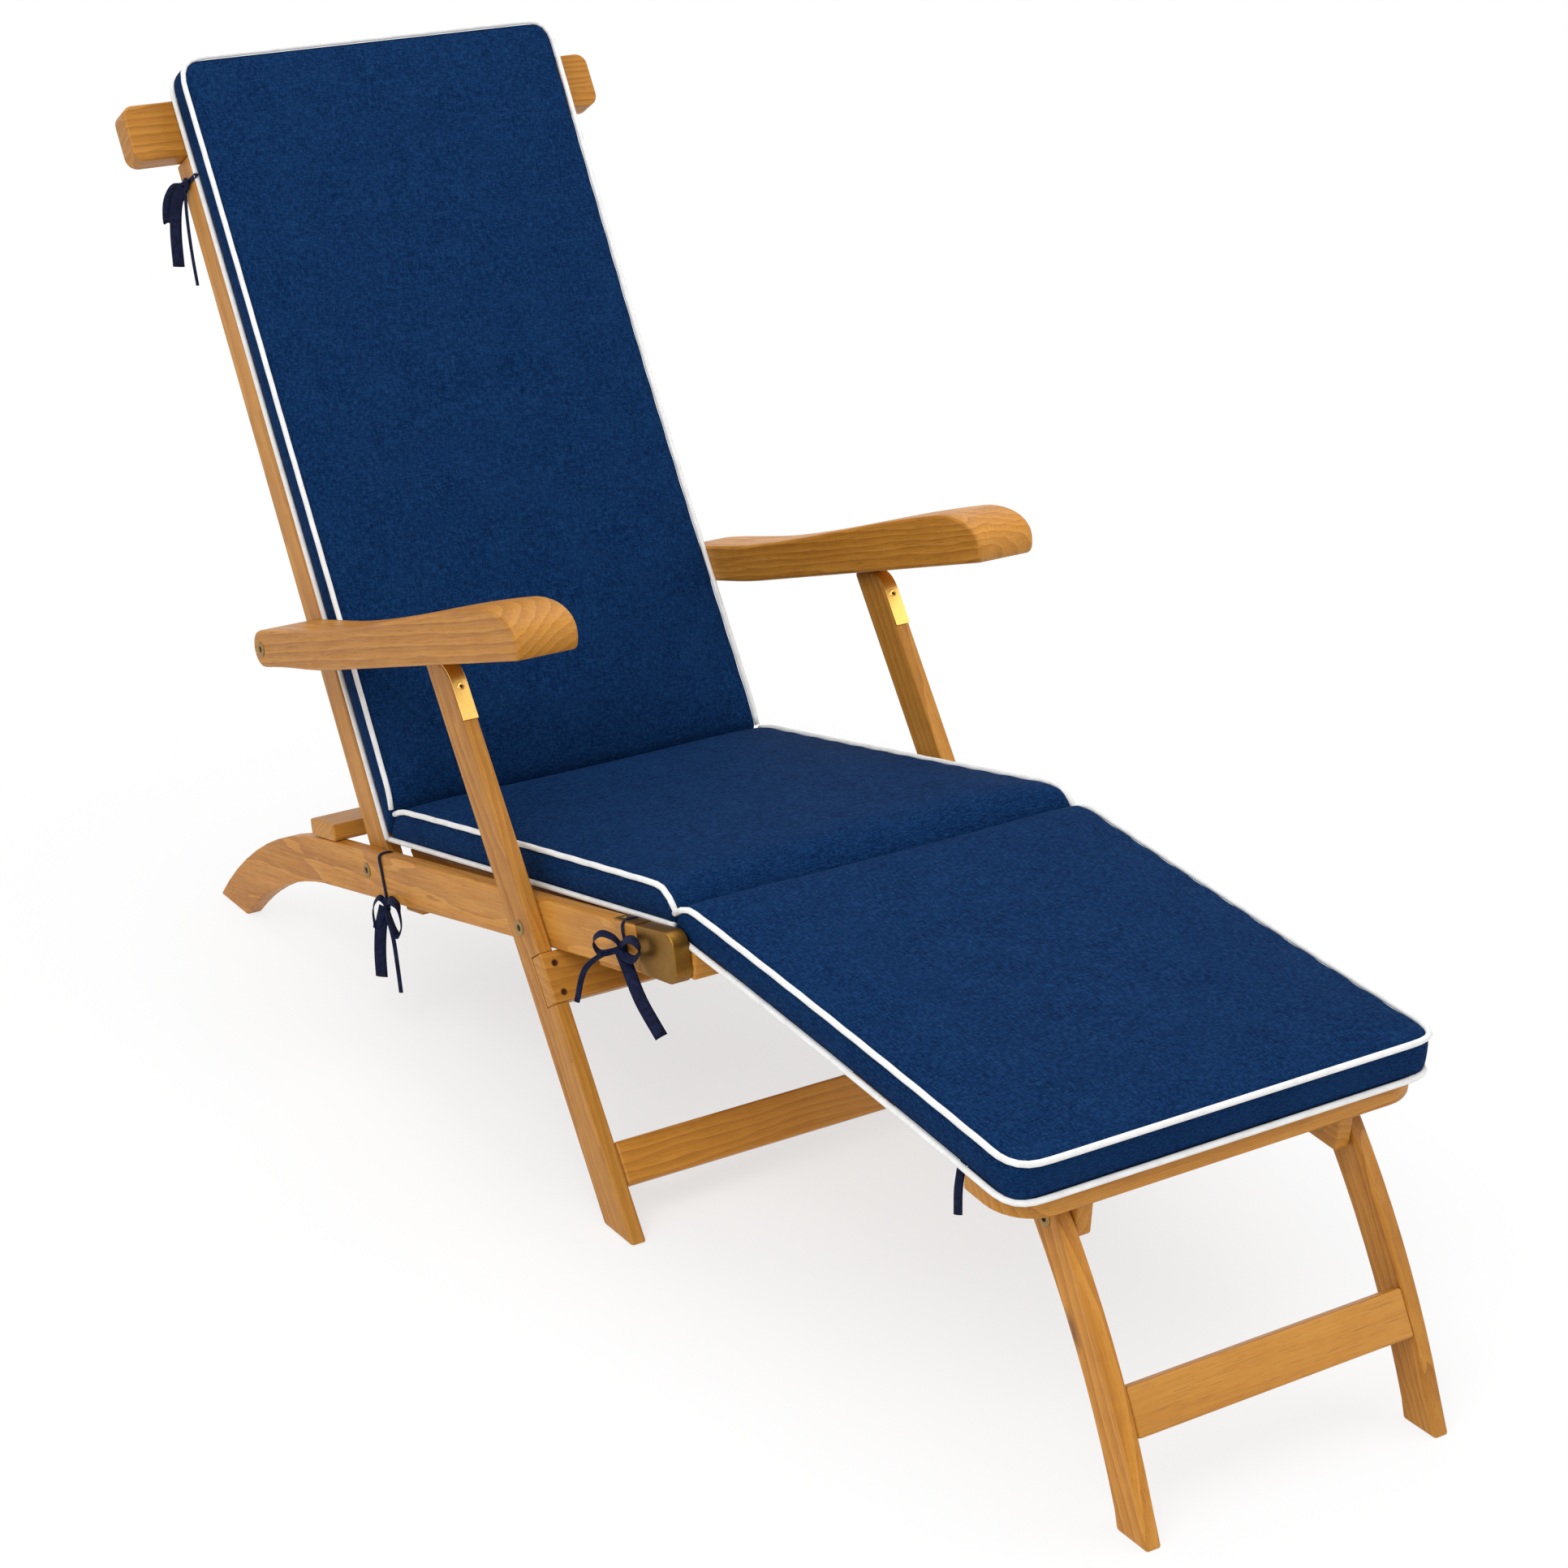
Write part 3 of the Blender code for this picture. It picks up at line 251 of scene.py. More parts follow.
class Shader:
    """A material's node tree with short calls for the nodes used here."""

    def __init__(self, name):
        self.material = bpy.data.materials.new(name)
        self.material.use_nodes = True
        self.tree = self.material.node_tree
        self.surface = self.tree.nodes["Principled BSDF"]

    def node(self, kind, **values):
        made = self.tree.nodes.new(kind)
        for key, value in values.items():
            setattr(made, key, value)
        return made

    def wire(self, source, target):
        self.tree.links.new(source, target)

    def feed(self, target, value):
        if isinstance(value, bpy.types.NodeSocket):
            self.wire(value, target)
        else:
            target.default_value = value

    def math(self, operation, first, second=0.0):
        made = self.node("ShaderNodeMath", operation=operation)
        self.feed(made.inputs[0], first)
        self.feed(made.inputs[1], second)
        return made.outputs[0]

    def vector(self, operation, first, second):
        made = self.node("ShaderNodeVectorMath", operation=operation)
        self.feed(made.inputs[0], first)
        self.feed(made.inputs[1], second)
        return made.outputs[0]

    def noise(self, place, scale, detail=2.0, rough=0.5):
        made = self.node("ShaderNodeTexNoise")
        self.wire(place, made.inputs["Vector"])
        made.inputs["Scale"].default_value = scale
        made.inputs["Detail"].default_value = detail
        made.inputs["Roughness"].default_value = rough
        return made.outputs["Fac"]

    def ramp(self, value, stops):
        made = self.node("ShaderNodeValToRGB")
        self.wire(value, made.inputs["Fac"])
        points = made.color_ramp.elements
        while len(points) < len(stops):
            points.new(1.0)
        for point, (place, colour) in zip(points, stops):
            point.position = place
            point.color = (*colour, 1.0)
        return made.outputs["Color"]

    def span(self, value, low, high, out_low, out_high):
        made = self.node("ShaderNodeMapRange")
        self.wire(value, made.inputs["Value"])
        limits = {"From Min": low, "From Max": high, "To Min": out_low, "To Max": out_high}
        for name, number in limits.items():
            made.inputs[name].default_value = number
        return made.outputs["Result"]

    def mix(self, share, first, second, blend="MIX"):
        made = self.node("ShaderNodeMix", data_type="RGBA", blend_type=blend)
        self.feed(made.inputs[0], share)
        for socket, value in ((made.inputs[6], first), (made.inputs[7], second)):
            self.feed(socket, value if isinstance(value, bpy.types.NodeSocket) else (*value, 1.0))
        return made.outputs[2]

    def place(self, turn=(0.0, 0.0, 0.0)):
        """Object coordinates, turned so that a texture's x runs the chosen way."""
        coordinates = self.node("ShaderNodeTexCoord")
        mapping = self.node("ShaderNodeMapping", vector_type="TEXTURE")
        self.wire(coordinates.outputs["Object"], mapping.inputs["Vector"])
        mapping.inputs["Rotation"].default_value = turn
        return mapping.outputs["Vector"]

    def set(self, **values):
        for name, value in values.items():
            self.feed(self.surface.inputs[name.replace("_", " ")], value)

    def bump(self, height, strength, distance):
        made = self.node("ShaderNodeBump")
        self.wire(height, made.inputs["Height"])
        made.inputs["Strength"].default_value = strength
        made.inputs["Distance"].default_value = distance
        self.wire(made.outputs["Normal"], self.surface.inputs["Normal"])


# Materials

WOOD_LIGHT = (0.57, 0.258, 0.040)
WOOD_MIDDLE = (0.465, 0.187, 0.018)
WOOD_DARK = (0.31, 0.107, 0.008)
WOOD_PORE = (0.22, 0.072, 0.008)
KNOT_COLOUR = (0.10, 0.032, 0.010)
EDGE_HIGHLIGHT = (0.60, 0.30, 0.07)
WOOD_TONES = (0.88, 1.10)
HEADRAIL_TONES = (0.82, 0.90)
BOARD_SHIFTS = (9.0, 0.23, 0.37)
FIBRE_NOISE = (0.035, 420.0, 4.0, 0.6)
PORE_NOISE = (0.045, 900.0, 1.0)
BROAD_NOISE = (0.25, 9.0, 2.0)
GRAIN_STRETCH = 0.16
GRAIN_BEND = 0.050
RING_SHARE = 0.30
MOTTLE_SHARE = 0.16
FIBRE_SHARE = 0.44
BROAD_SHARE = 0.20


def grey(shader, value):
    """A grey colour from one number."""
    made = shader.node("ShaderNodeCombineColor")
    for socket in made.inputs:
        shader.wire(value, socket)
    return made.outputs["Color"]


def drawn_out(made, place, stretch, scale, detail, rough=0.5):
    """Noise drawn out along the grain."""
    return made.noise(made.vector("MULTIPLY", place, (stretch, 1.0, 1.0)), scale, detail, rough)


def board_place(made, turn, board):
    """Coordinates along a board's grain, moved so that no two boards look alike."""
    shift = made.node("ShaderNodeCombineXYZ")
    for axis, reach in zip("XYZ", BOARD_SHIFTS):
        made.wire(made.math("MULTIPLY", board, reach), shift.inputs[axis])
    return made.vector("ADD", made.place(turn), shift.outputs["Vector"])


def bent_grain(made, place):
    """Coordinates stretched along the grain, with the grain wandering a little."""
    slow = made.vector("MULTIPLY", place, (GRAIN_STRETCH, 1.0, 1.0))
    bend = made.noise(slow, 14.0, 3.0)
    wander = made.math("MULTIPLY", made.math("SUBTRACT", bend, 0.5), GRAIN_BEND)
    lean = made.node("ShaderNodeCombineXYZ")
    made.wire(wander, lean.inputs["Y"])
    made.wire(wander, lean.inputs["Z"])
    return made.vector("ADD", slow, lean.outputs["Vector"])


def growth_rings(made, bent):
    """Sawtooth rings round the grain's direction."""
    rings = made.node("ShaderNodeTexWave", wave_type="RINGS", rings_direction="X", wave_profile="SAW")
    made.wire(bent, rings.inputs["Vector"])
    settings = {"Scale": 34.0, "Distortion": 1.2, "Detail": 2.0, "Detail Scale": 3.0}
    for name, value in settings.items():
        rings.inputs[name].default_value = value
    return rings.outputs["Fac"]


def small_knots(made, bent):
    """Strength of the few dark knots."""
    cells = made.node("ShaderNodeTexVoronoi")
    made.wire(made.vector("MULTIPLY", bent, (2.6, 1.0, 1.0)), cells.inputs["Vector"])
    cells.inputs["Scale"].default_value = 7.0
    return made.span(cells.outputs["Distance"], 0.030, 0.075, 0.8, 0.0)


def wood_material(name, turn, tones=WOOD_TONES):
    """Oiled honey wood: growth rings, fibres, pores, a few knots and paler edges, a painted highlight."""
    made = Shader(name)
    board = made.node("ShaderNodeObjectInfo").outputs["Random"]
    place = board_place(made, turn, board)
    bent = bent_grain(made, place)
    fibre = drawn_out(made, place, *FIBRE_NOISE)
    pore = drawn_out(made, place, *PORE_NOISE)
    broad = drawn_out(made, place, *BROAD_NOISE)
    mottle = made.noise(made.vector("MULTIPLY", place, (1.0, 0.35, 0.35)), 70.0, 2.0)
    figure = made.math("MULTIPLY", growth_rings(made, bent), RING_SHARE)
    for layer, share in ((mottle, MOTTLE_SHARE), (fibre, FIBRE_SHARE), (broad, BROAD_SHARE)):
        figure = made.math("ADD", figure, made.math("MULTIPLY", layer, share))
    colour = made.ramp(figure, [(0.28, WOOD_LIGHT), (0.53, WOOD_MIDDLE), (0.80, WOOD_DARK)])
    pores = made.span(pore, 0.60, 0.74, 0.0, 0.55)
    colour = made.mix(pores, colour, WOOD_PORE)
    colour = made.mix(small_knots(made, bent), colour, KNOT_COLOUR)
    tone = made.span(board, 0.0, 1.0, *tones)
    colour = made.mix(1.0, colour, grey(made, tone), "MULTIPLY")
    # Paler colour on convex edges: a painted highlight.
    edge = made.span(made.node("ShaderNodeNewGeometry").outputs["Pointiness"], 0.52, 0.62, 0.0, 0.40)
    colour = made.mix(edge, colour, EDGE_HIGHLIGHT)
    made.set(Base_Color=colour, Roughness=made.span(fibre, 0.3, 0.7, 0.36, 0.54), Specular_IOR_Level=0.25,
             Coat_Weight=0.03, Coat_Roughness=0.30)
    made.bump(made.math("SUBTRACT", fibre, made.math("MULTIPLY", pores, 0.8)), 0.25, 0.0006)
    return made.material


def brass_material(name, pale, deep, low, high):
    """Brass with brushed streaks, faint dull patches and brighter edges, a painted highlight."""
    made = Shader(name)
    place = made.place()
    streak = made.noise(made.vector("MULTIPLY", place, (1.0, 0.05, 1.0)), 900.0, 3.0, 0.65)
    patch = made.noise(place, 60.0, 4.0, 0.6)
    spots = made.noise(place, 420.0, 2.0)
    tarnish = made.math("ADD", made.math("MULTIPLY", patch, 0.6), made.math("MULTIPLY", spots, 0.4))
    colour = made.ramp(tarnish, [(0.30, pale), (0.74, deep)])
    # Paler colour on convex edges: a painted highlight.
    edge = made.span(made.node("ShaderNodeNewGeometry").outputs["Pointiness"], 0.53, 0.66, 0.0, 0.6)
    colour = made.mix(edge, colour, pale)
    made.set(Base_Color=colour, Roughness=made.span(streak, 0.3, 0.7, low, high), Metallic=1.0)
    made.bump(streak, 0.05, 0.0002)
    return made.material


def weave_height(made, place, pitch):
    """Over-and-under threads: the product of two fine waves across each other."""
    threads = []
    for direction in ("X", "Y"):
        wave = made.node("ShaderNodeTexWave", wave_type="BANDS", bands_direction=direction,
                         wave_profile="SIN")
        made.wire(place, wave.inputs["Vector"])
        wave.inputs["Scale"].default_value = math.pi / (10.0 * pitch)
        wave.inputs["Distortion"].default_value = 0.6
        wave.inputs["Detail"].default_value = 1.0
        threads.append(wave.outputs["Fac"])
    return made.math("MULTIPLY", *threads)


NAVY = (0.0025, 0.0225, 0.0850)
NAVY_LIGHT = (0.0080, 0.0440, 0.1320)
NAVY_DARK = (0.0013, 0.0108, 0.0425)
PIPING_CLEAN = (0.86, 0.86, 0.85)
PIPING_SOILED = (0.74, 0.74, 0.72)
PIPING_SHADE = (0.55, 0.56, 0.58)
RIBBON_DARK = (0.0012, 0.0022, 0.016)
RIBBON_LIGHT = (0.006, 0.012, 0.048)
RECESS_SHADE = (0.006, 0.005, 0.004)
RECESS_METAL = (0.035, 0.025, 0.014)
CLOTH_PITCH = 0.0011
PIPING_PITCH = 0.0014
RIBBON_PITCH = 0.0009
YARN_STRETCH = 0.22
YARN_SCALE = 700.0


def cloth_material(name, degrees):
    """Navy outdoor cloth: a fine weave of mixed light and dark yarns, with painted shade between the threads.
    """
    made = Shader(name)
    place = made.place((math.radians(degrees), 0.0, 0.0))
    weave = weave_height(made, place, CLOTH_PITCH)
    yarn_x = made.noise(made.vector("MULTIPLY", place, (YARN_STRETCH, 1.0, 1.0)), YARN_SCALE, 1.0)
    yarn_y = made.noise(made.vector("MULTIPLY", place, (1.0, YARN_STRETCH, 1.0)), YARN_SCALE, 1.0)
    speckle = made.math("MULTIPLY", made.math("ADD", yarn_x, yarn_y), 0.5)
    cloud = made.noise(place, 22.0, 3.0)
    colour = made.ramp(speckle, [(0.36, NAVY_DARK), (0.50, NAVY), (0.66, NAVY_LIGHT)])
    # Painted shade: darker where the weave dips between the threads.
    colour = made.mix(made.span(weave, 0.0, 1.0, 0.22, 0.0), colour, NAVY_DARK)
    colour = made.mix(made.span(cloud, 0.4, 0.7, 0.0, 0.16), colour, NAVY_LIGHT)
    made.set(Base_Color=colour, Roughness=made.span(speckle, 0.3, 0.7, 0.95, 0.80), Specular_IOR_Level=0.05)
    made.bump(made.math("ADD", weave, speckle), 0.35, 0.0008)
    return made.material


def piping_material(name):
    """White cotton piping with a twill slant and faint handling marks."""
    made = Shader(name)
    place = made.place((0.0, 0.0, math.radians(45.0)))
    twill = weave_height(made, place, PIPING_PITCH)
    soil = made.noise(place, 75.0, 4.0, 0.6)
    colour = made.ramp(soil, [(0.35, PIPING_CLEAN), (0.70, PIPING_SOILED)])
    # Painted shade: darker in the twill's grooves.
    colour = made.mix(made.span(twill, 0.0, 1.0, 0.08, 0.0), colour, PIPING_SHADE)
    made.set(Base_Color=colour, Roughness=made.span(soil, 0.3, 0.7, 0.75, 0.9))
    made.bump(twill, 0.2, 0.0004)
    return made.material


def ribbon_material(name):
    """Very dark navy ribbon with fine cross ribs and a little shine on the yarn."""
    made = Shader(name)
    place = made.place()
    ribs = weave_height(made, place, RIBBON_PITCH)
    tone = made.noise(place, 180.0, 3.0)
    colour = made.ramp(tone, [(0.35, RIBBON_DARK), (0.68, RIBBON_LIGHT)])
    made.set(Base_Color=colour, Roughness=made.span(ribs, 0.0, 1.0, 0.75, 0.55), Specular_IOR_Level=0.15)
    made.bump(ribs, 0.4, 0.0005)
    return made.material


def recess_shade_material(name):
    """Painted shade on the bottom of a bolt's recess, with some dull metal showing."""
    made = Shader(name)
    shade_noise = made.noise(made.place(), 900.0, 3.0)
    # Near black mixed with dull metal: painted shade in the recess.
    colour = made.ramp(shade_noise, [(0.4, RECESS_SHADE), (0.7, RECESS_METAL)])
    made.set(Base_Color=colour, Roughness=0.7, Metallic=0.5)
    return made.material


def grain(degrees):
    """Turn for a texture whose x should run along a side-view slope."""
    slope = Matrix.Rotation(math.radians(degrees), 3, "X")
    return (slope @ Matrix.Rotation(math.radians(90.0), 3, "Z")).to_euler()


WOODS = {
    "rail": wood_material("wood_rail", grain(RAIL_ANGLE)),
    "back": wood_material("wood_back", grain(BACK_ANGLE)),
    "arm": wood_material("wood_arm", grain(ARM_ANGLE)),
    "leg": wood_material("wood_leg", grain(LEG_ANGLE)),
    "foot": wood_material("wood_foot", grain(FOOT_ANGLE)),
    "foot_leg": wood_material("wood_foot_leg", grain(FOOT_LEG_ANGLE)),
    "across": wood_material("wood_across", (0.0, 0.0, 0.0)),
    "head": wood_material("wood_head", (0.0, 0.0, 0.0), HEADRAIL_TONES),
}
KNUCKLE_BRASS = brass_material("brass_knuckle", (0.32, 0.165, 0.032), (0.22, 0.105, 0.018), 0.38, 0.50)
PLATE_BRASS = brass_material("brass_plate", (0.90, 0.56, 0.15), (0.80, 0.48, 0.12), 0.28, 0.36)
SCREW_BRASS = brass_material("screw_brass", (0.20, 0.090, 0.030), (0.10, 0.040, 0.015), 0.40, 0.55)
BOLT_BRASS = brass_material("bolt_brass", (0.40, 0.26, 0.095), (0.20, 0.12, 0.045), 0.34, 0.55)
PAINTED_RECESS_SHADE = recess_shade_material("bolt_recess")
PIPING = piping_material("white_piping")
RIBBON = ribbon_material("navy_ribbon")
CLOTHS = {
    "back": cloth_material("navy_cloth_back", BACK_ANGLE),
    "seat": cloth_material("navy_cloth_seat", SEAT_ANGLE),
    "foot": cloth_material("navy_cloth_foot", FOOT_ANGLE),
}


def wood_for(node):
    """The grained wood that suits a board's direction."""
    starts = (("rail_", "rail"), ("seat_bearer", "rail"), ("stile", "back"), ("arm_", "arm"),
              ("foot_leg", "foot_leg"), ("foot_slat", "foot"), ("foot_cleat", "foot"), ("leg_", "leg"),
              ("headrail", "head"))
    if node.endswith("stretcher"):
        return WOODS["across"]
    for start, kind in starts:
        if node.startswith(start):
            return WOODS[kind]
    return WOODS["across"]


def metal_for(node):
    """The brass that suits a fitting."""
    if "plate" in node:
        return PLATE_BRASS
    if "bolt" in node or "pin" in node:
        return BOLT_BRASS
    return KNUCKLE_BRASS


def smooth_faces(mesh):
    for face in mesh.polygons:
        face.use_smooth = True


def dress_frame():
    """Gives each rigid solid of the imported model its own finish."""
    for name, item in frame["nodes"].items():
        metal = any(word in name for word in ("knuckle", "plate", "bolt"))
        item.data.materials.clear()
        item.data.materials.append(metal_for(name) if metal else wood_for(name))
        smooth_faces(item.data)
        item.data.set_sharp_from_angle(angle=math.radians(FRAME_SHARP))


# Cushions

class Section:
    """One section of the cushion: its slope, its two ends and how each end is made."""

    def __init__(self, name, side_frame, start, end, level, mitres, dips, rounded, lift=0.0):
        self.name = name
        self.frame = side_frame
        self.start = start
        self.end = end
        self.level = level
        self.mitres = mitres
        self.dips = dips
        self.rounded = rounded
        self.lift = lift
        self.columns = round(2 * HALF_WIDTH / PITCH)
        self.rows = round((end - start) / PITCH)


def corner_round(across, to_end, radius):
    """Rounds a free end's corner in plan: moves a point of the corner square into the quarter disc."""
    side = HALF_WIDTH - abs(across)
    if side >= radius or to_end >= radius:
        return across, to_end
    p = 1.0 - side / radius
    q = 1.0 - to_end / radius
    new_p = p * math.sqrt(1.0 - q * q / 2)
    new_q = q * math.sqrt(1.0 - p * p / 2)
    return math.copysign(HALF_WIDTH - radius * (1.0 - new_p), across), radius * (1.0 - new_q)


def crease_fall(distance, dip):
    """Share of the height that is left at a distance from a sewn crease."""
    if distance >= CREASE_REACH:
        return 1.0
    return 1.0 - dip * (1.0 - math.sin(0.5 * math.pi * distance / CREASE_REACH))


def cushion_point(section, column, row, layer):
    """Place of one grid point of a cushion, in the section's own (across, along, up)."""
    across_share = 2.0 * column / section.columns - 1.0
    along_share = row / section.rows
    up_share = layer / BORDER_ROWS
    length = section.end - section.start
    across = across_share * HALF_WIDTH
    along = along_share * length
    if section.rounded:
        across, left = corner_round(across, length - along, CORNER)
        along = length - left
    edge_x = 1.0 - across_share ** 8
    edge_a = 1.0 - (2.0 * along_share - 1.0) ** 12
    across *= 1.0 - DRAW * (1.0 - (2.0 * along_share - 1.0) ** 2) / HALF_WIDTH
    fall = crease_fall(along, section.dips[0]) * crease_fall(length - along, section.dips[1])
    height = BORDER * fall + CROWN * edge_x * edge_a
    low = 1.0 - up_share
    along += -section.mitres[0] * low * (1.0 - along_share) + section.mitres[1] * low * along_share
    if abs(across_share) == 1.0:
        across += math.copysign(SIDE_BULGE * math.sin(math.pi * up_share), across_share)
    wave = math.sin(2.0 * math.pi * along / PUCKER_LENGTH + 2.0 * across_share)
    near_edge = across_share ** 8
    rise = section.lift * max(0.0, 1.0 - along / BACK_LIFT_FADE)
    return across, section.start + along, rise + height * up_share + PUCKER * wave * near_edge * up_share


def cushion_mesh(section):
    """A closed quad grid for a box cushion, with the numbers of its corner points by (column, row, layer)."""
    places = {}
    points = []

    def number(column, row, layer):
        key = (column, row, layer)
        if key not in places:
            places[key] = len(points)
            across, along, up = cushion_point(section, column, row, layer)
            points.append(section.frame.place(across, along, section.level + up))
        return places[key]

    faces = []
    columns, rows, layers = section.columns, section.rows, BORDER_ROWS
    for column in range(columns):
        for row in range(rows):
            for layer in (0, layers):
                faces.append([number(column, row, layer), number(column + 1, row, layer),
                              number(column + 1, row + 1, layer), number(column, row + 1, layer)])
    for layer in range(layers):
        for row in range(rows):
            for column in (0, columns):
                faces.append([number(column, row, layer), number(column, row + 1, layer),
                              number(column, row + 1, layer + 1), number(column, row, layer + 1)])
        for column in range(columns):
            for row in (0, rows):
                faces.append([number(column, row, layer), number(column + 1, row, layer),
                              number(column + 1, row, layer + 1), number(column, row, layer + 1)])
    mesh = bpy.data.meshes.new(section.name)
    mesh.from_pydata(points, [], faces)
    shape = bmesh.new()
    shape.from_mesh(mesh)
    bmesh.ops.recalc_face_normals(shape, faces=shape.faces)
    shape.to_mesh(mesh)
    shape.free()
    return mesh, places


def new_piece(name, mesh, *materials):
    """A named object in the scene, with its materials."""
    for material in materials:
        mesh.materials.append(material)
    item = bpy.data.objects.new(name, mesh)
    bpy.context.scene.collection.objects.link(item)
    return item


def mesh_points(mesh):
    """A mesh's corner points as rows of numbers."""
    values = np.zeros(len(mesh.vertices) * 3, np.float64)
    mesh.vertices.foreach_get("co", values)
    return values.reshape(-1, 3)


def swell(item, section, places):
    """Fills a cushion with a short cloth simulation: seams and underside held, the swelling capped."""
    held = item.vertex_groups.new(name="held")
    for (column, row, layer), index in places.items():
        on_side = column in (0, section.columns)
        on_end = row in (0, section.rows)
        seam = (on_side or on_end) and layer in (0, BORDER_ROWS)
        if seam or layer == 0:
            held.add([index], 1.0, "REPLACE")
    cloth = item.modifiers.new("swell", "CLOTH")
    cloth.settings.quality = CLOTH_QUALITY
    cloth.settings.mass = CLOTH_MASS
    cloth.settings.vertex_group_mass = "held"
    cloth.settings.use_pressure = True
    cloth.settings.uniform_pressure_force = SWELL_PRESSURE
    cloth.settings.effector_weights.gravity = 0.0
    cloth.settings.tension_stiffness = CLOTH_STIFFNESS
    cloth.settings.compression_stiffness = CLOTH_STIFFNESS
    cloth.collision_settings.use_collision = False
    cloth.point_cache.frame_start = 1
    cloth.point_cache.frame_end = SWELL_FRAMES
    before = mesh_points(item.data)
    scene = bpy.context.scene
    for step in range(1, SWELL_FRAMES + 1):
        scene.frame_set(step)
    ready = item.evaluated_get(bpy.context.evaluated_depsgraph_get())
    after = mesh_points(ready.data)
    item.modifiers.remove(cloth)
    item.vertex_groups.clear()
    scene.frame_set(1)
    move = after - before
    length = np.linalg.norm(move, axis=1, keepdims=True)
    share = SWELL_CAP * np.tanh(length / SWELL_CAP) / np.maximum(length, 1e-9)
    item.data.vertices.foreach_set("co", (before + move * share).ravel())
    item.data.update()


def refine(item):
    """One applied subdivision."""
    smooth = item.modifiers.new("smooth", "SUBSURF")
    smooth.levels = 1
    smooth.render_levels = 1
    ready = item.evaluated_get(bpy.context.evaluated_depsgraph_get())
    mesh = bpy.data.meshes.new_from_object(ready)
    item.modifiers.remove(smooth)
    old = item.data
    item.data = mesh
    bpy.data.meshes.remove(old)
    smooth_faces(mesh)


def smoothed(points, rounds):
    """A path with its inner points averaged with their neighbours."""
    path = np.array(points, float)
    for _ in range(rounds):
        path[1:-1] = (path[:-2] + 2.0 * path[1:-1] + path[2:]) / 4.0
    return path


def join_rings(shape, rings):
    """Faces between rings of points and one on each end; returns the last."""
    sides = len(rings[0])
    for first, second in zip(rings, rings[1:]):
        for step in range(sides):
            after = (step + 1) % sides
            shape.faces.new((first[step], first[after], second[after], second[step]))
    shape.faces.new(rings[0][::-1])
    return shape.faces.new(rings[-1])


def smooth_mesh(name, shape):
    """A smooth-shaded mesh from a finished shape."""
    mesh = bpy.data.meshes.new(name)
    shape.to_mesh(mesh)
    shape.free()
    smooth_faces(mesh)
    return mesh


def tube_mesh(name, path, radius, sides):
    """A tube along a path, closed by a flat face at each end."""
    shape = bmesh.new()
    rings = []
    sideways = None
    for index, point in enumerate(path):
        ahead = path[min(index + 1, len(path) - 1)] - path[max(index - 1, 0)]
        ahead.normalize()
        if sideways is None:
            sideways = ahead.orthogonal().normalized()
        sideways = (sideways - sideways.dot(ahead) * ahead).normalized()
        other = ahead.cross(sideways)
        ring = []
        for step in range(sides):
            angle = 2.0 * math.pi * step / sides
            offset = radius * (math.cos(angle) * sideways + math.sin(angle) * other)
            ring.append(shape.verts.new(point + offset))
        rings.append(ring)
    join_rings(shape, rings)
    bmesh.ops.recalc_face_normals(shape, faces=shape.faces)
    return smooth_mesh(name, shape)


def seam_path(section, points, places, layer):
    """Points along a seam: up one side, across the free end if there is one, and down the other side."""
    rows = range(section.rows + 1)
    if section.rounded:
        keys = [(0, row, layer) for row in rows]
        keys += [(column, section.rows, layer) for column in range(1, section.columns)]
        keys += [(section.columns, row, layer) for row in reversed(rows)]
        return [[points[places[key]] for key in keys]]
    runs = []
    for column in (0, section.columns):
        runs.append([points[places[(column, row, layer)]] for row in rows])
    return runs


def piping_path(section, run, layer):
    """A seam's path moved just outside the cloth, but not into the rails beside the seat."""
    lift = Vector((0.0, *section.frame.up)) * (PIPING_LIFT if layer == 0 else -PIPING_LIFT)
    forward = Vector((0.0, *section.frame.along))
    room = INSIDE - PIPING_RADIUS
    path = []
    for point in run:
        place = Vector(point) + lift
        past_end = section.frame.read(place.yz)[0] - (section.end - CORNER)
        if section.rounded and past_end > 0.0:
            place += forward * PIPING_OUT * min(1.0, past_end / CORNER)
        reach = abs(place.x) + PIPING_OUT * min(1.0, abs(place.x) / (HALF_WIDTH - CORNER))
        if section.name == "cushion_seat" and layer == 0:
            reach = min(reach, room)
        place.x = math.copysign(reach, place.x)
        path.append(place)
    return path


def build_section(section, cloth, node):
    """A cushion section with its piping; returns all its pieces."""
    mesh, places = cushion_mesh(section)
    item = new_piece(section.name, mesh, cloth)
    swell(item, section, places)
    points = mesh_points(item.data)
    pieces = [item]
    for layer in (0, BORDER_ROWS):
        for number, run in enumerate(seam_path(section, points, places, layer)):
            name = f"{section.name}_piping_{'low' if layer == 0 else 'top'}_{number + 1}"
            path = piping_path(section, smoothed(run, SEAM_SMOOTHING), layer)
            pieces.append(new_piece(name, tube_mesh(name, path, PIPING_RADIUS, PIPING_SIDES), PIPING))
    refine(item)
    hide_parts(node)
    return pieces


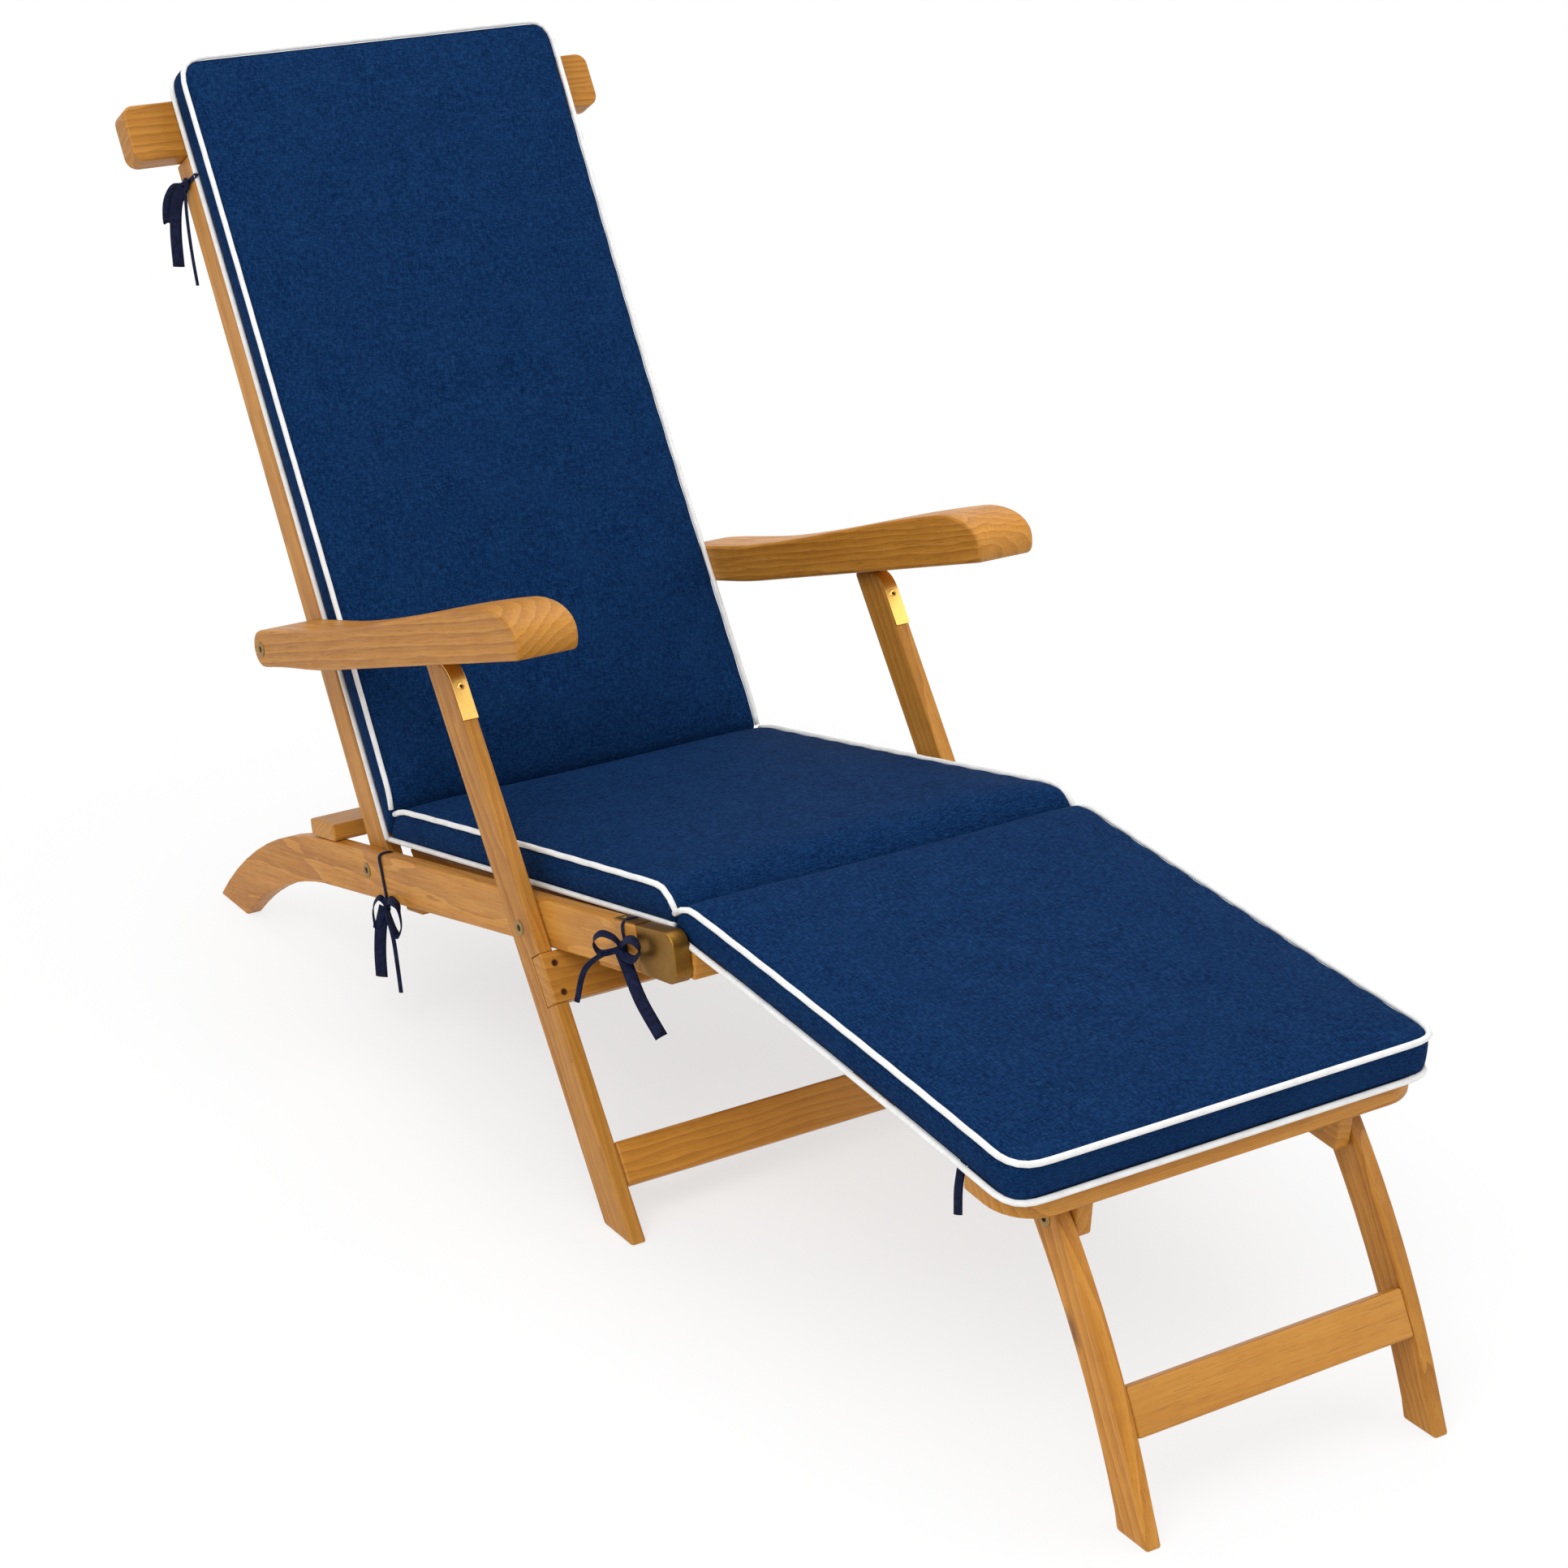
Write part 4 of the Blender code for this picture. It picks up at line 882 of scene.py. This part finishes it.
def build_cushions():
    """The three sections; the seat's pieces ride on the seat, the back and foot ones stay where they are
    built.
    """
    crease = SEAT.read(BACK(BACK_FROM, BACK_LEVEL + BACK_LIFT + BORDER))[0]
    knee = FOOT.read(SEAT(0.0, BORDER))[0]
    seat_end = (FOOT_FROM - CREASE_GAP - knee) / SEAT.along.dot(FOOT.along)
    back = Section("cushion_back", BACK, BACK_FROM, BACK_TO, BACK_LEVEL, (BACK_MITRE, 0.0),
                   (BACK_CREASE_DIP, 0.0), True, BACK_LIFT)
    seat = Section("cushion_seat", SEAT, crease + CREASE_GAP, seat_end, 0.0, (BACK_MITRE, -KNEE_MITRE),
                   (BACK_CREASE_DIP, SEAT_KNEE_DIP), False)
    foot = Section("cushion_foot", FOOT, FOOT_FROM + CREASE_GAP, FOOT_TO, DECK_LEVEL, (0.0, 0.0),
                   (FOOT_KNEE_DIP, 0.0), True)
    back_pieces = build_section(back, CLOTHS["back"], "back_cushion")
    seat_pieces = build_section(seat, CLOTHS["seat"], "seat_cushion")
    foot_pieces = build_section(foot, CLOTHS["foot"], "foot_cushion")
    for piece in back_pieces:
        BACK.place(0.0, BACK_FROM, BACK_LEVEL)
        BACK.place(0.0, BACK_BEND_END, BACK_LEVEL)
        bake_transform(piece)
    for piece in seat_pieces:
        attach(piece, "seat")
    for piece in foot_pieces:
        FOOT.place(0.0, FOOT_FROM, 0.0)
        FOOT.place(0.0, FOOT_BEND_END, 0.0)
        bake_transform(piece)


# Ribbon ties

def ribbon_mesh(name, path, across, width):
    """A thin flat strip along a path, its width lying along the given direction, slightly cupped."""
    shape = bmesh.new()
    rows = []
    for index, point in enumerate(path):
        ahead = (path[min(index + 1, len(path) - 1)] - path[max(index - 1, 0)]).normalized()
        wide = Vector(across)
        wide = (wide - wide.dot(ahead) * ahead).normalized()
        out = ahead.cross(wide)
        row = []
        for share in RIBBON_SHARES:
            cup = RIBBON_THICK * (1.0 - 4.0 * share * share)
            row.append(shape.verts.new(point + share * width * wide + cup * out))
        rows.append(row)
    for first, second in zip(rows, rows[1:]):
        for step in range(len(RIBBON_SHARES) - 1):
            shape.faces.new((first[step], first[step + 1], second[step + 1], second[step]))
    bmesh.ops.recalc_face_normals(shape, faces=shape.faces)
    bmesh.ops.solidify(shape, geom=shape.faces[:], thickness=RIBBON_THICK)
    return smooth_mesh(name, shape)


def curve_through(points):
    """Points on a smooth curve through a few chosen ones."""
    ends = [2.0 * points[0] - points[1]] + points + [2.0 * points[-1] - points[-2]]
    path = []
    for index in range(1, len(ends) - 2):
        p0, p1, p2, p3 = ends[index - 1:index + 3]
        for step in range(CURVE_STEPS):
            t = step / CURVE_STEPS
            path.append(0.5 * (2.0 * p1 + (p2 - p0) * t + (2.0 * p0 - 5.0 * p1 + 4.0 * p2 - p3) * t * t
                               + (3.0 * p1 - p0 - 3.0 * p2 + p3) * t * t * t))
    path.append(points[-1])
    return path


def slant(side):
    """The way a hanging tail's width lies: turned half forward."""
    return (-side * math.sqrt(0.5), -math.sqrt(0.5), 0.0)


def tail(name, points, across, width, body):
    """A free ribbon end."""
    path = curve_through(points)
    item = new_piece(name, ribbon_mesh(name, path, across, width), RIBBON)
    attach(item, body)


def band(name, points, across, width, body, node=None):
    """A ribbon's fixed run or loop."""
    item = new_piece(name, ribbon_mesh(name, curve_through(points), across, width), RIBBON)
    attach(item, body)
    if node:
        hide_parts(node)


def knot(name, centre, size, body):
    """A small pulled knot: a squeezed ball with wrapped ridges."""
    shape = bmesh.new()
    bmesh.ops.create_icosphere(shape, subdivisions=3, radius=1.0)
    for corner in shape.verts:
        x, y, z = corner.co
        ridge = 1.0 + KNOT_RIDGE * math.sin(5.0 * z + 3.0 * y)
        corner.co = centre + Vector((x * size[0], y * size[1], z * size[2])) * ridge
    item = new_piece(name, smooth_mesh(name, shape), RIBBON)
    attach(item, body)


def moved_from(start, side, moves):
    """Points given by their moves outward, along y and up from a start."""
    return [start + Vector((side * out, ahead, up)) for out, ahead, up in moves]


def two_tails(name, tie_at, side, tails, widths, body):
    """A knot's two free ends, each given by its moves from the knot."""
    for number, moves in enumerate(tails):
        path = moved_from(tie_at, side, moves)
        tail(f"{name}_{number + 1}", path, slant(side), widths[number], body)


def open_loop(name, tie_at, side, moves):
    """An open loop of a rail's bow, seen from the side and the front: its width points back and inward."""
    outward, back, up = LOOP_LEAN
    band(name, moved_from(tie_at, side, moves), (side * outward, back, up), LOOP_WIDTH, "seat")


def rail_band(name, side, along, route, width, node):
    """A band round a rail, through points given as (across, ahead, level) in the rail's frame."""
    points = [RAIL.place(side * across, along + ahead, level) for across, ahead, level in route]
    band(name, points, (0.0, *RAIL.along), width, "seat", node)


def stile_tie(name, side):
    """Tied on the stile's side just under the headrail, with a loop and two tails beside the stile."""
    face = STILE_OUTER + RIBBON_GAP
    route = [(HALF_WIDTH + 0.002, BACK_LEVEL + 0.004), (face, STILE_FRONT), (face, 0.0), (face, -STILE_REAR),
             (0.224, -0.0235)]
    points = [BACK.place(side * across, STILE_TIE_ALONG, level) for across, level in route]
    band("stile_band_" + name, points, (0.0, *BACK.along), BAND_WIDTH, "back", "stile_tie_" + name)
    tie_at = BACK.place(side * (face + STILE_KNOT_OUT), STILE_TIE_ALONG, 0.0)
    knot("stile_knot_" + name, tie_at, STILE_KNOT, "back")
    loop = [(0.0, 0.0, 0.0), (0.008, 0.016, -0.006), (0.012, 0.030, -0.026), (0.012, 0.033, -0.050),
            (0.010, 0.024, -0.042), (0.006, 0.010, -0.018), (0.0, 0.0, -0.003)]
    band("stile_loop_" + name, moved_from(tie_at, side, loop), slant(side), STILE_LOOP_WIDTH, "back")
    rear_tail = [(0.003, 0.002, -0.004), (0.008, 0.011, -0.024), (0.010, 0.014, -0.058),
                 (0.009, 0.014, -0.098)]
    front_tail = [(0.002, 0.0, -0.004), (0.003, -0.004, -0.040), (0.003, -0.012, -0.080),
                  (0.002, -0.020, -0.114)]
    two_tails("stile_tail_" + name, tie_at, side, (rear_tail, front_tail), STILE_TAIL_WIDTHS, "back")


def rear_tie(name, side):
    """Round the rail just ahead of the back's pivot, with a bow under the rail and two tails."""
    face = RAIL_OUTER + RIBBON_GAP
    route = [(GULLY, 0.0, RAIL_TOP - 0.004), (0.248, 0.0, RAIL_TOP + 0.0015), (face, 0.0, RAIL_TOP - 0.001),
             (face, 0.0, 0.004), (face, 0.004, 0.002 - RAIL_BOTTOM)]
    rail_band("rear_band_" + name, side, REAR_TIE_ALONG, route, BAND_WIDTH, "rear_tie_" + name)
    tie_at = RAIL.place(side * (face + RAIL_KNOT_OUT), REAR_TIE_ALONG + REAR_KNOT_AHEAD, 0.001 - RAIL_BOTTOM)
    knot("rear_knot_" + name, tie_at, REAR_KNOT, "seat")
    rear_loop = [(0.0, 0.0, 0.0), (0.005, 0.009, 0.004), (0.009, 0.017, -0.010), (0.008, 0.015, -0.030),
                 (0.004, 0.006, -0.025), (0.0, 0.0, -0.003)]
    front_loop = [(0.0, 0.0, 0.0), (0.003, -0.016, 0.010), (0.004, -0.036, 0.008), (0.004, -0.043, -0.010),
                  (0.004, -0.033, -0.026), (0.003, -0.014, -0.014), (0.0, 0.0, -0.002)]
    open_loop("rear_loop_rear_" + name, tie_at, side, rear_loop)
    open_loop("rear_loop_front_" + name, tie_at, side, front_loop)
    rear_tail = [(0.002, 0.0, -0.004), (0.005, 0.006, -0.030), (0.006, 0.009, -0.062),
                 (0.004, 0.012, -0.094)]
    front_tail = [(0.003, 0.0, -0.004), (0.005, -0.022, -0.030), (0.005, -0.031, -0.064),
                  (0.003, -0.033, -0.096)]
    two_tails("rear_tail_" + name, tie_at, side, (rear_tail, front_tail), REAR_TAIL_WIDTHS, "seat")


def knee_tie(name, side):
    """Round the rail behind the brass knuckle, with an open bow on its face and two long tails."""
    face = RAIL_OUTER + RIBBON_GAP
    route = [(GULLY, 0.0, 0.016), (GULLY, 0.0, RAIL_FRONT_TOP - 0.002), (0.249, 0.0, RAIL_FRONT_TOP + 0.002),
             (face, 0.0, RAIL_FRONT_TOP - 0.002), (face, 0.0, 0.010), (face, 0.0, 0.003 - RAIL_FRONT_BOTTOM),
             (0.252, 0.0, -0.002 - RAIL_FRONT_BOTTOM)]
    rail_band("knee_band_" + name, side, KNEE_TIE_ALONG, route, KNEE_BAND_WIDTH, "knee_tie_" + name)
    tie_at = RAIL.place(side * (face + RAIL_KNOT_OUT), KNEE_TIE_ALONG, KNEE_KNOT_LEVEL)
    knot("knee_knot_" + name, tie_at, KNEE_KNOT, "seat")
    rear_loop = [(0.0, 0.0, 0.0), (0.006, 0.007, 0.009), (0.014, 0.018, 0.011), (0.019, 0.025, 0.001),
                 (0.015, 0.019, -0.010), (0.007, 0.008, -0.007), (0.0, 0.0, -0.001)]
    front_loop = [(0.0, 0.0, 0.0), (0.005, -0.012, 0.012), (0.006, -0.030, 0.020), (0.005, -0.042, 0.013),
                  (0.006, -0.032, 0.000), (0.005, -0.012, -0.003), (0.0, 0.0, -0.001)]
    open_loop("knee_loop_rear_" + name, tie_at, side, rear_loop)
    open_loop("knee_loop_front_" + name, tie_at, side, front_loop)
    rear_tail = [(0.001, 0.0, -0.003), (0.013, 0.014, -0.010), (0.024, 0.033, -0.032),
                 (0.028, 0.043, -0.070)]
    front_tail = [(0.002, 0.0, -0.003), (0.007, -0.022, -0.012), (0.009, -0.050, -0.036),
                  (0.008, -0.086, -0.060)]
    two_tails("knee_tail_" + name, tie_at, side, (rear_tail, front_tail), KNEE_TAIL_WIDTHS, "seat")


def foot_tie(name, side):
    """From under the cushion, hanging just behind the footrest's front board."""
    route = [(0.026, 0.0008), (0.015, 0.0015), (0.010, 0.006)]
    points = []
    for inward, drop in route:
        points.append(FOOT.place(side * (HALF_WIDTH - inward), FOOT_TIE_ALONG, DECK_LEVEL - drop))
    band("foot_band_" + name, points, (0.0, 1.0, 0.0), FOOT_RIBBON_WIDTH, "footrest", "foot_tie_" + name)
    moves = [(0.0, 0.0, 0.0), (0.001, 0.001, -0.012), (0.002, 0.002, -0.028), (0.001, 0.003, -0.052)]
    path = moved_from(points[-1], side, moves)
    tail("foot_tail_" + name, path, slant(side), FOOT_RIBBON_WIDTH, "footrest")


# Bolt and screw heads

def turned_mesh(name, profile):
    """A turned form about z from (radius, height) points; its last face has the second material."""
    shape = bmesh.new()
    rings = []
    for radius, height in profile:
        ring = []
        for step in range(TURN_STEPS):
            angle = 2.0 * math.pi * step / TURN_STEPS
            ring.append(shape.verts.new((radius * math.cos(angle), radius * math.sin(angle), height)))
        rings.append(ring)
    recess = join_rings(shape, rings)
    recess.material_index = 1
    bmesh.ops.recalc_face_normals(shape, faces=shape.faces)
    mesh = smooth_mesh(name, shape)
    mesh.set_sharp_from_angle(angle=math.radians(HEAD_SHARP))
    return mesh


def head(name, place, normal, radius, proud, body, metal):
    """A round head with a chamfer and a recess, its floor painted dark as shade, standing on a face."""
    profile = [(radius, 0.0), (radius, proud * 0.6), (radius * 0.90, proud), (radius * 0.50, proud),
               (radius * 0.42, proud * 0.75), (radius * 0.40, proud * 0.1)]
    item = new_piece(name, turned_mesh(name, profile), metal, PAINTED_RECESS_SHADE)
    turn = Vector(normal).to_track_quat("Z", "Y").to_matrix().to_4x4()
    item.data.transform(Matrix.Translation(Vector(place)) @ turn)
    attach(item, body)


def build_heads():
    """Bolt heads at the pivots; screws on the wear plates, the stretcher's ends and the knuckles."""
    for name, side in SIDES:
        outward = (side, 0.0, 0.0)
        pivots = (("back", BACK_PIVOT, RAIL_OUTER, "back"), ("arm", ARM_PIVOT, ARM_OUTER, "arm_" + name),
                  ("leg", LEG_PIVOT, LEG_OUTER, "legs"),
                  ("foot_leg", FOOT_LEG_PIVOT, FOOT_LEG_OUTER, "footrest_legs"))
        for what, point, across, body in pivots:
            head(f"{what}_bolt_head_{name}", (side * across, *point), outward, BOLT_RADIUS, BOLT_PROUD, body,
                 BOLT_BRASS)
        middle = side * (LEG_INNER + LEG_OUTER) / 2
        leg_front = Vector((0.0, *LEG.up))
        plate = LEG.place(middle, PLATE_SCREW_ALONG, PLATE_FACE)
        head("plate_screw_" + name, plate, leg_front, PLATE_SCREW_RADIUS, PLATE_SCREW_PROUD, "legs",
             PLATE_BRASS)
        for number, along in enumerate(STRETCHER_SCREWS):
            place = LEG.place(side * STRETCHER_SCREW_ACROSS, along, STRETCHER_FACE)
            head(f"stretcher_screw_{name}_{number + 1}", place, leg_front, STRETCHER_SCREW_RADIUS,
                 STRETCHER_SCREW_PROUD, "legs", SCREW_BRASS)
        flange(name, side)


def flange(name, side):
    """The thin brass flange that runs back from a knuckle along its rail's top, with its screw."""
    inner = side * (INSIDE + FLANGE_INSET)
    outer = side * (RAIL_OUTER - FLANGE_INSET)
    corners = []
    for level in FLANGE_LEVELS:
        top = RAIL_FRONT_TOP + level
        corners += [RAIL.place(inner, FLANGE_FROM, top), RAIL.place(outer, FLANGE_FROM, top),
                    RAIL.place(outer, FLANGE_TO, top), RAIL.place(inner, FLANGE_TO, top)]
    mesh = bpy.data.meshes.new("knuckle_flange_" + name)
    sides = [(step, (step + 1) % 4, 4 + (step + 1) % 4, 4 + step) for step in range(4)]
    mesh.from_pydata(corners, [], [(0, 1, 2, 3), (4, 5, 6, 7)] + sides)
    shape = bmesh.new()
    shape.from_mesh(mesh)
    bmesh.ops.recalc_face_normals(shape, faces=shape.faces)
    bmesh.ops.bevel(shape, geom=shape.edges[:], offset=FLANGE_EASE, segments=2, affect="EDGES")
    shape.to_mesh(mesh)
    shape.free()
    item = new_piece("knuckle_flange_" + name, mesh, KNUCKLE_BRASS)
    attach(item, "seat")
    middle = side * (INSIDE + RAIL_OUTER) / 2
    screw = RAIL.place(middle, FLANGE_SCREW_ALONG, RAIL_FRONT_TOP + FLANGE_SCREW_LEVEL)
    head("knuckle_screw_" + name, screw, Vector((0.0, *RAIL.up)), FLANGE_SCREW_RADIUS, FLANGE_SCREW_PROUD,
         "seat", BOLT_BRASS)


# Stage, light and camera

def floor_material():
    """A pale floor that reads as white from the camera and keeps the chair's soft shadow."""
    made = Shader("studio_floor")
    tone = made.noise(made.place(), 3.0, 2.0)
    colour = made.ramp(tone, [(0.3, FLOOR_GREY), (0.7, FLOOR_PALE)])
    made.set(Base_Color=colour, Roughness=0.9, Specular_IOR_Level=0.1)
    away = made.node("ShaderNodeVectorMath", operation="LENGTH")
    made.wire(made.vector("MULTIPLY", made.place(), (1.3, 0.9, 0.0)), away.inputs[0])
    far = made.span(away.outputs["Value"], FLOOR_FADE_FROM, FLOOR_FADE_TO, FLOOR_WHITE_NEAR, 1.0)
    path = made.node("ShaderNodeLightPath")
    seen = made.math("MAXIMUM", path.outputs["Is Camera Ray"], path.outputs["Is Glossy Ray"])
    seen = made.math("MAXIMUM", seen, path.outputs["Is Transmission Ray"])
    white = made.node("ShaderNodeEmission")
    blend = made.node("ShaderNodeMixShader")
    made.wire(made.math("MULTIPLY", far, seen), blend.inputs["Fac"])
    made.wire(made.surface.outputs["BSDF"], blend.inputs[1])
    made.wire(white.outputs["Emission"], blend.inputs[2])
    made.wire(blend.outputs["Shader"], made.tree.nodes["Material Output"].inputs["Surface"])
    return made.material


def build_stage():
    """One large plain floor."""
    mesh = bpy.data.meshes.new("studio_floor")
    corners = []
    for x, y in ((-1, -1), (1, -1), (1, 1), (-1, 1)):
        corners.append((x * FLOOR_SIZE, y * FLOOR_SIZE, FLOOR_LEVEL))
    mesh.from_pydata(corners, [], [(0, 1, 2, 3)])
    new_piece("studio_floor", mesh, floor_material())


def build_world():
    """Soft white surroundings, plain white where the camera or a reflection sees them."""
    world = bpy.data.worlds.new("studio")
    bpy.context.scene.world = world
    world.use_nodes = True
    nodes = world.node_tree.nodes
    links = world.node_tree.links
    light = nodes["Background"]
    light.inputs["Color"].default_value = (1.0, 1.0, 1.0, 1.0)
    light.inputs["Strength"].default_value = WORLD_LIGHT
    white = nodes.new("ShaderNodeBackground")
    white.inputs["Color"].default_value = (1.0, 1.0, 1.0, 1.0)
    white.inputs["Strength"].default_value = 1.0
    path = nodes.new("ShaderNodeLightPath")
    seen = path.outputs["Is Camera Ray"]
    for ray in ("Is Glossy Ray", "Is Transmission Ray"):
        either = nodes.new("ShaderNodeMath")
        either.operation = "MAXIMUM"
        links.new(seen, either.inputs[0])
        links.new(path.outputs[ray], either.inputs[1])
        seen = either.outputs[0]
    mix = nodes.new("ShaderNodeMixShader")
    links.new(seen, mix.inputs["Fac"])
    links.new(light.outputs["Background"], mix.inputs[1])
    links.new(white.outputs["Background"], mix.inputs[2])
    links.new(mix.outputs["Shader"], nodes["World Output"].inputs["Surface"])


def area_light(name, place, size, power):
    """A square soft light turned towards the chair."""
    lamp = bpy.data.lights.new(name, "AREA")
    lamp.shape = "SQUARE"
    lamp.size = size
    lamp.energy = power
    item = bpy.data.objects.new(name, lamp)
    bpy.context.scene.collection.objects.link(item)
    item.location = place
    item.rotation_euler = (Vector(LIGHT_TARGET) - Vector(place)).to_track_quat("-Z", "Y").to_euler()


def build_camera():
    """The photograph's view of the chair."""
    data = bpy.data.cameras.new("camera")
    data.sensor_width = CAMERA_SENSOR
    data.lens = CAMERA_LENS
    data.shift_x, data.shift_y = CAMERA_SHIFT
    item = bpy.data.objects.new("camera", data)
    bpy.context.scene.collection.objects.link(item)
    turn = Vector(CAMERA_TOWARDS).to_track_quat("-Z", "Y").to_matrix()
    roll = Matrix.Rotation(math.radians(CAMERA_ROLL), 3, "Z")
    item.rotation_euler = (turn @ roll).to_euler()
    item.location = CAMERA_AT
    bpy.context.scene.camera = item


build_camera()
build_stage()
build_world()
for light in LIGHTS:
    area_light(*light)
dress_frame()
for side_name, sign in SIDES:
    stile_tie(side_name, sign)
    rear_tie(side_name, sign)
    knee_tie(side_name, sign)
    foot_tie(side_name, sign)
build_cushions()
build_heads()
bpy.context.scene.view_settings.view_transform = "Standard"
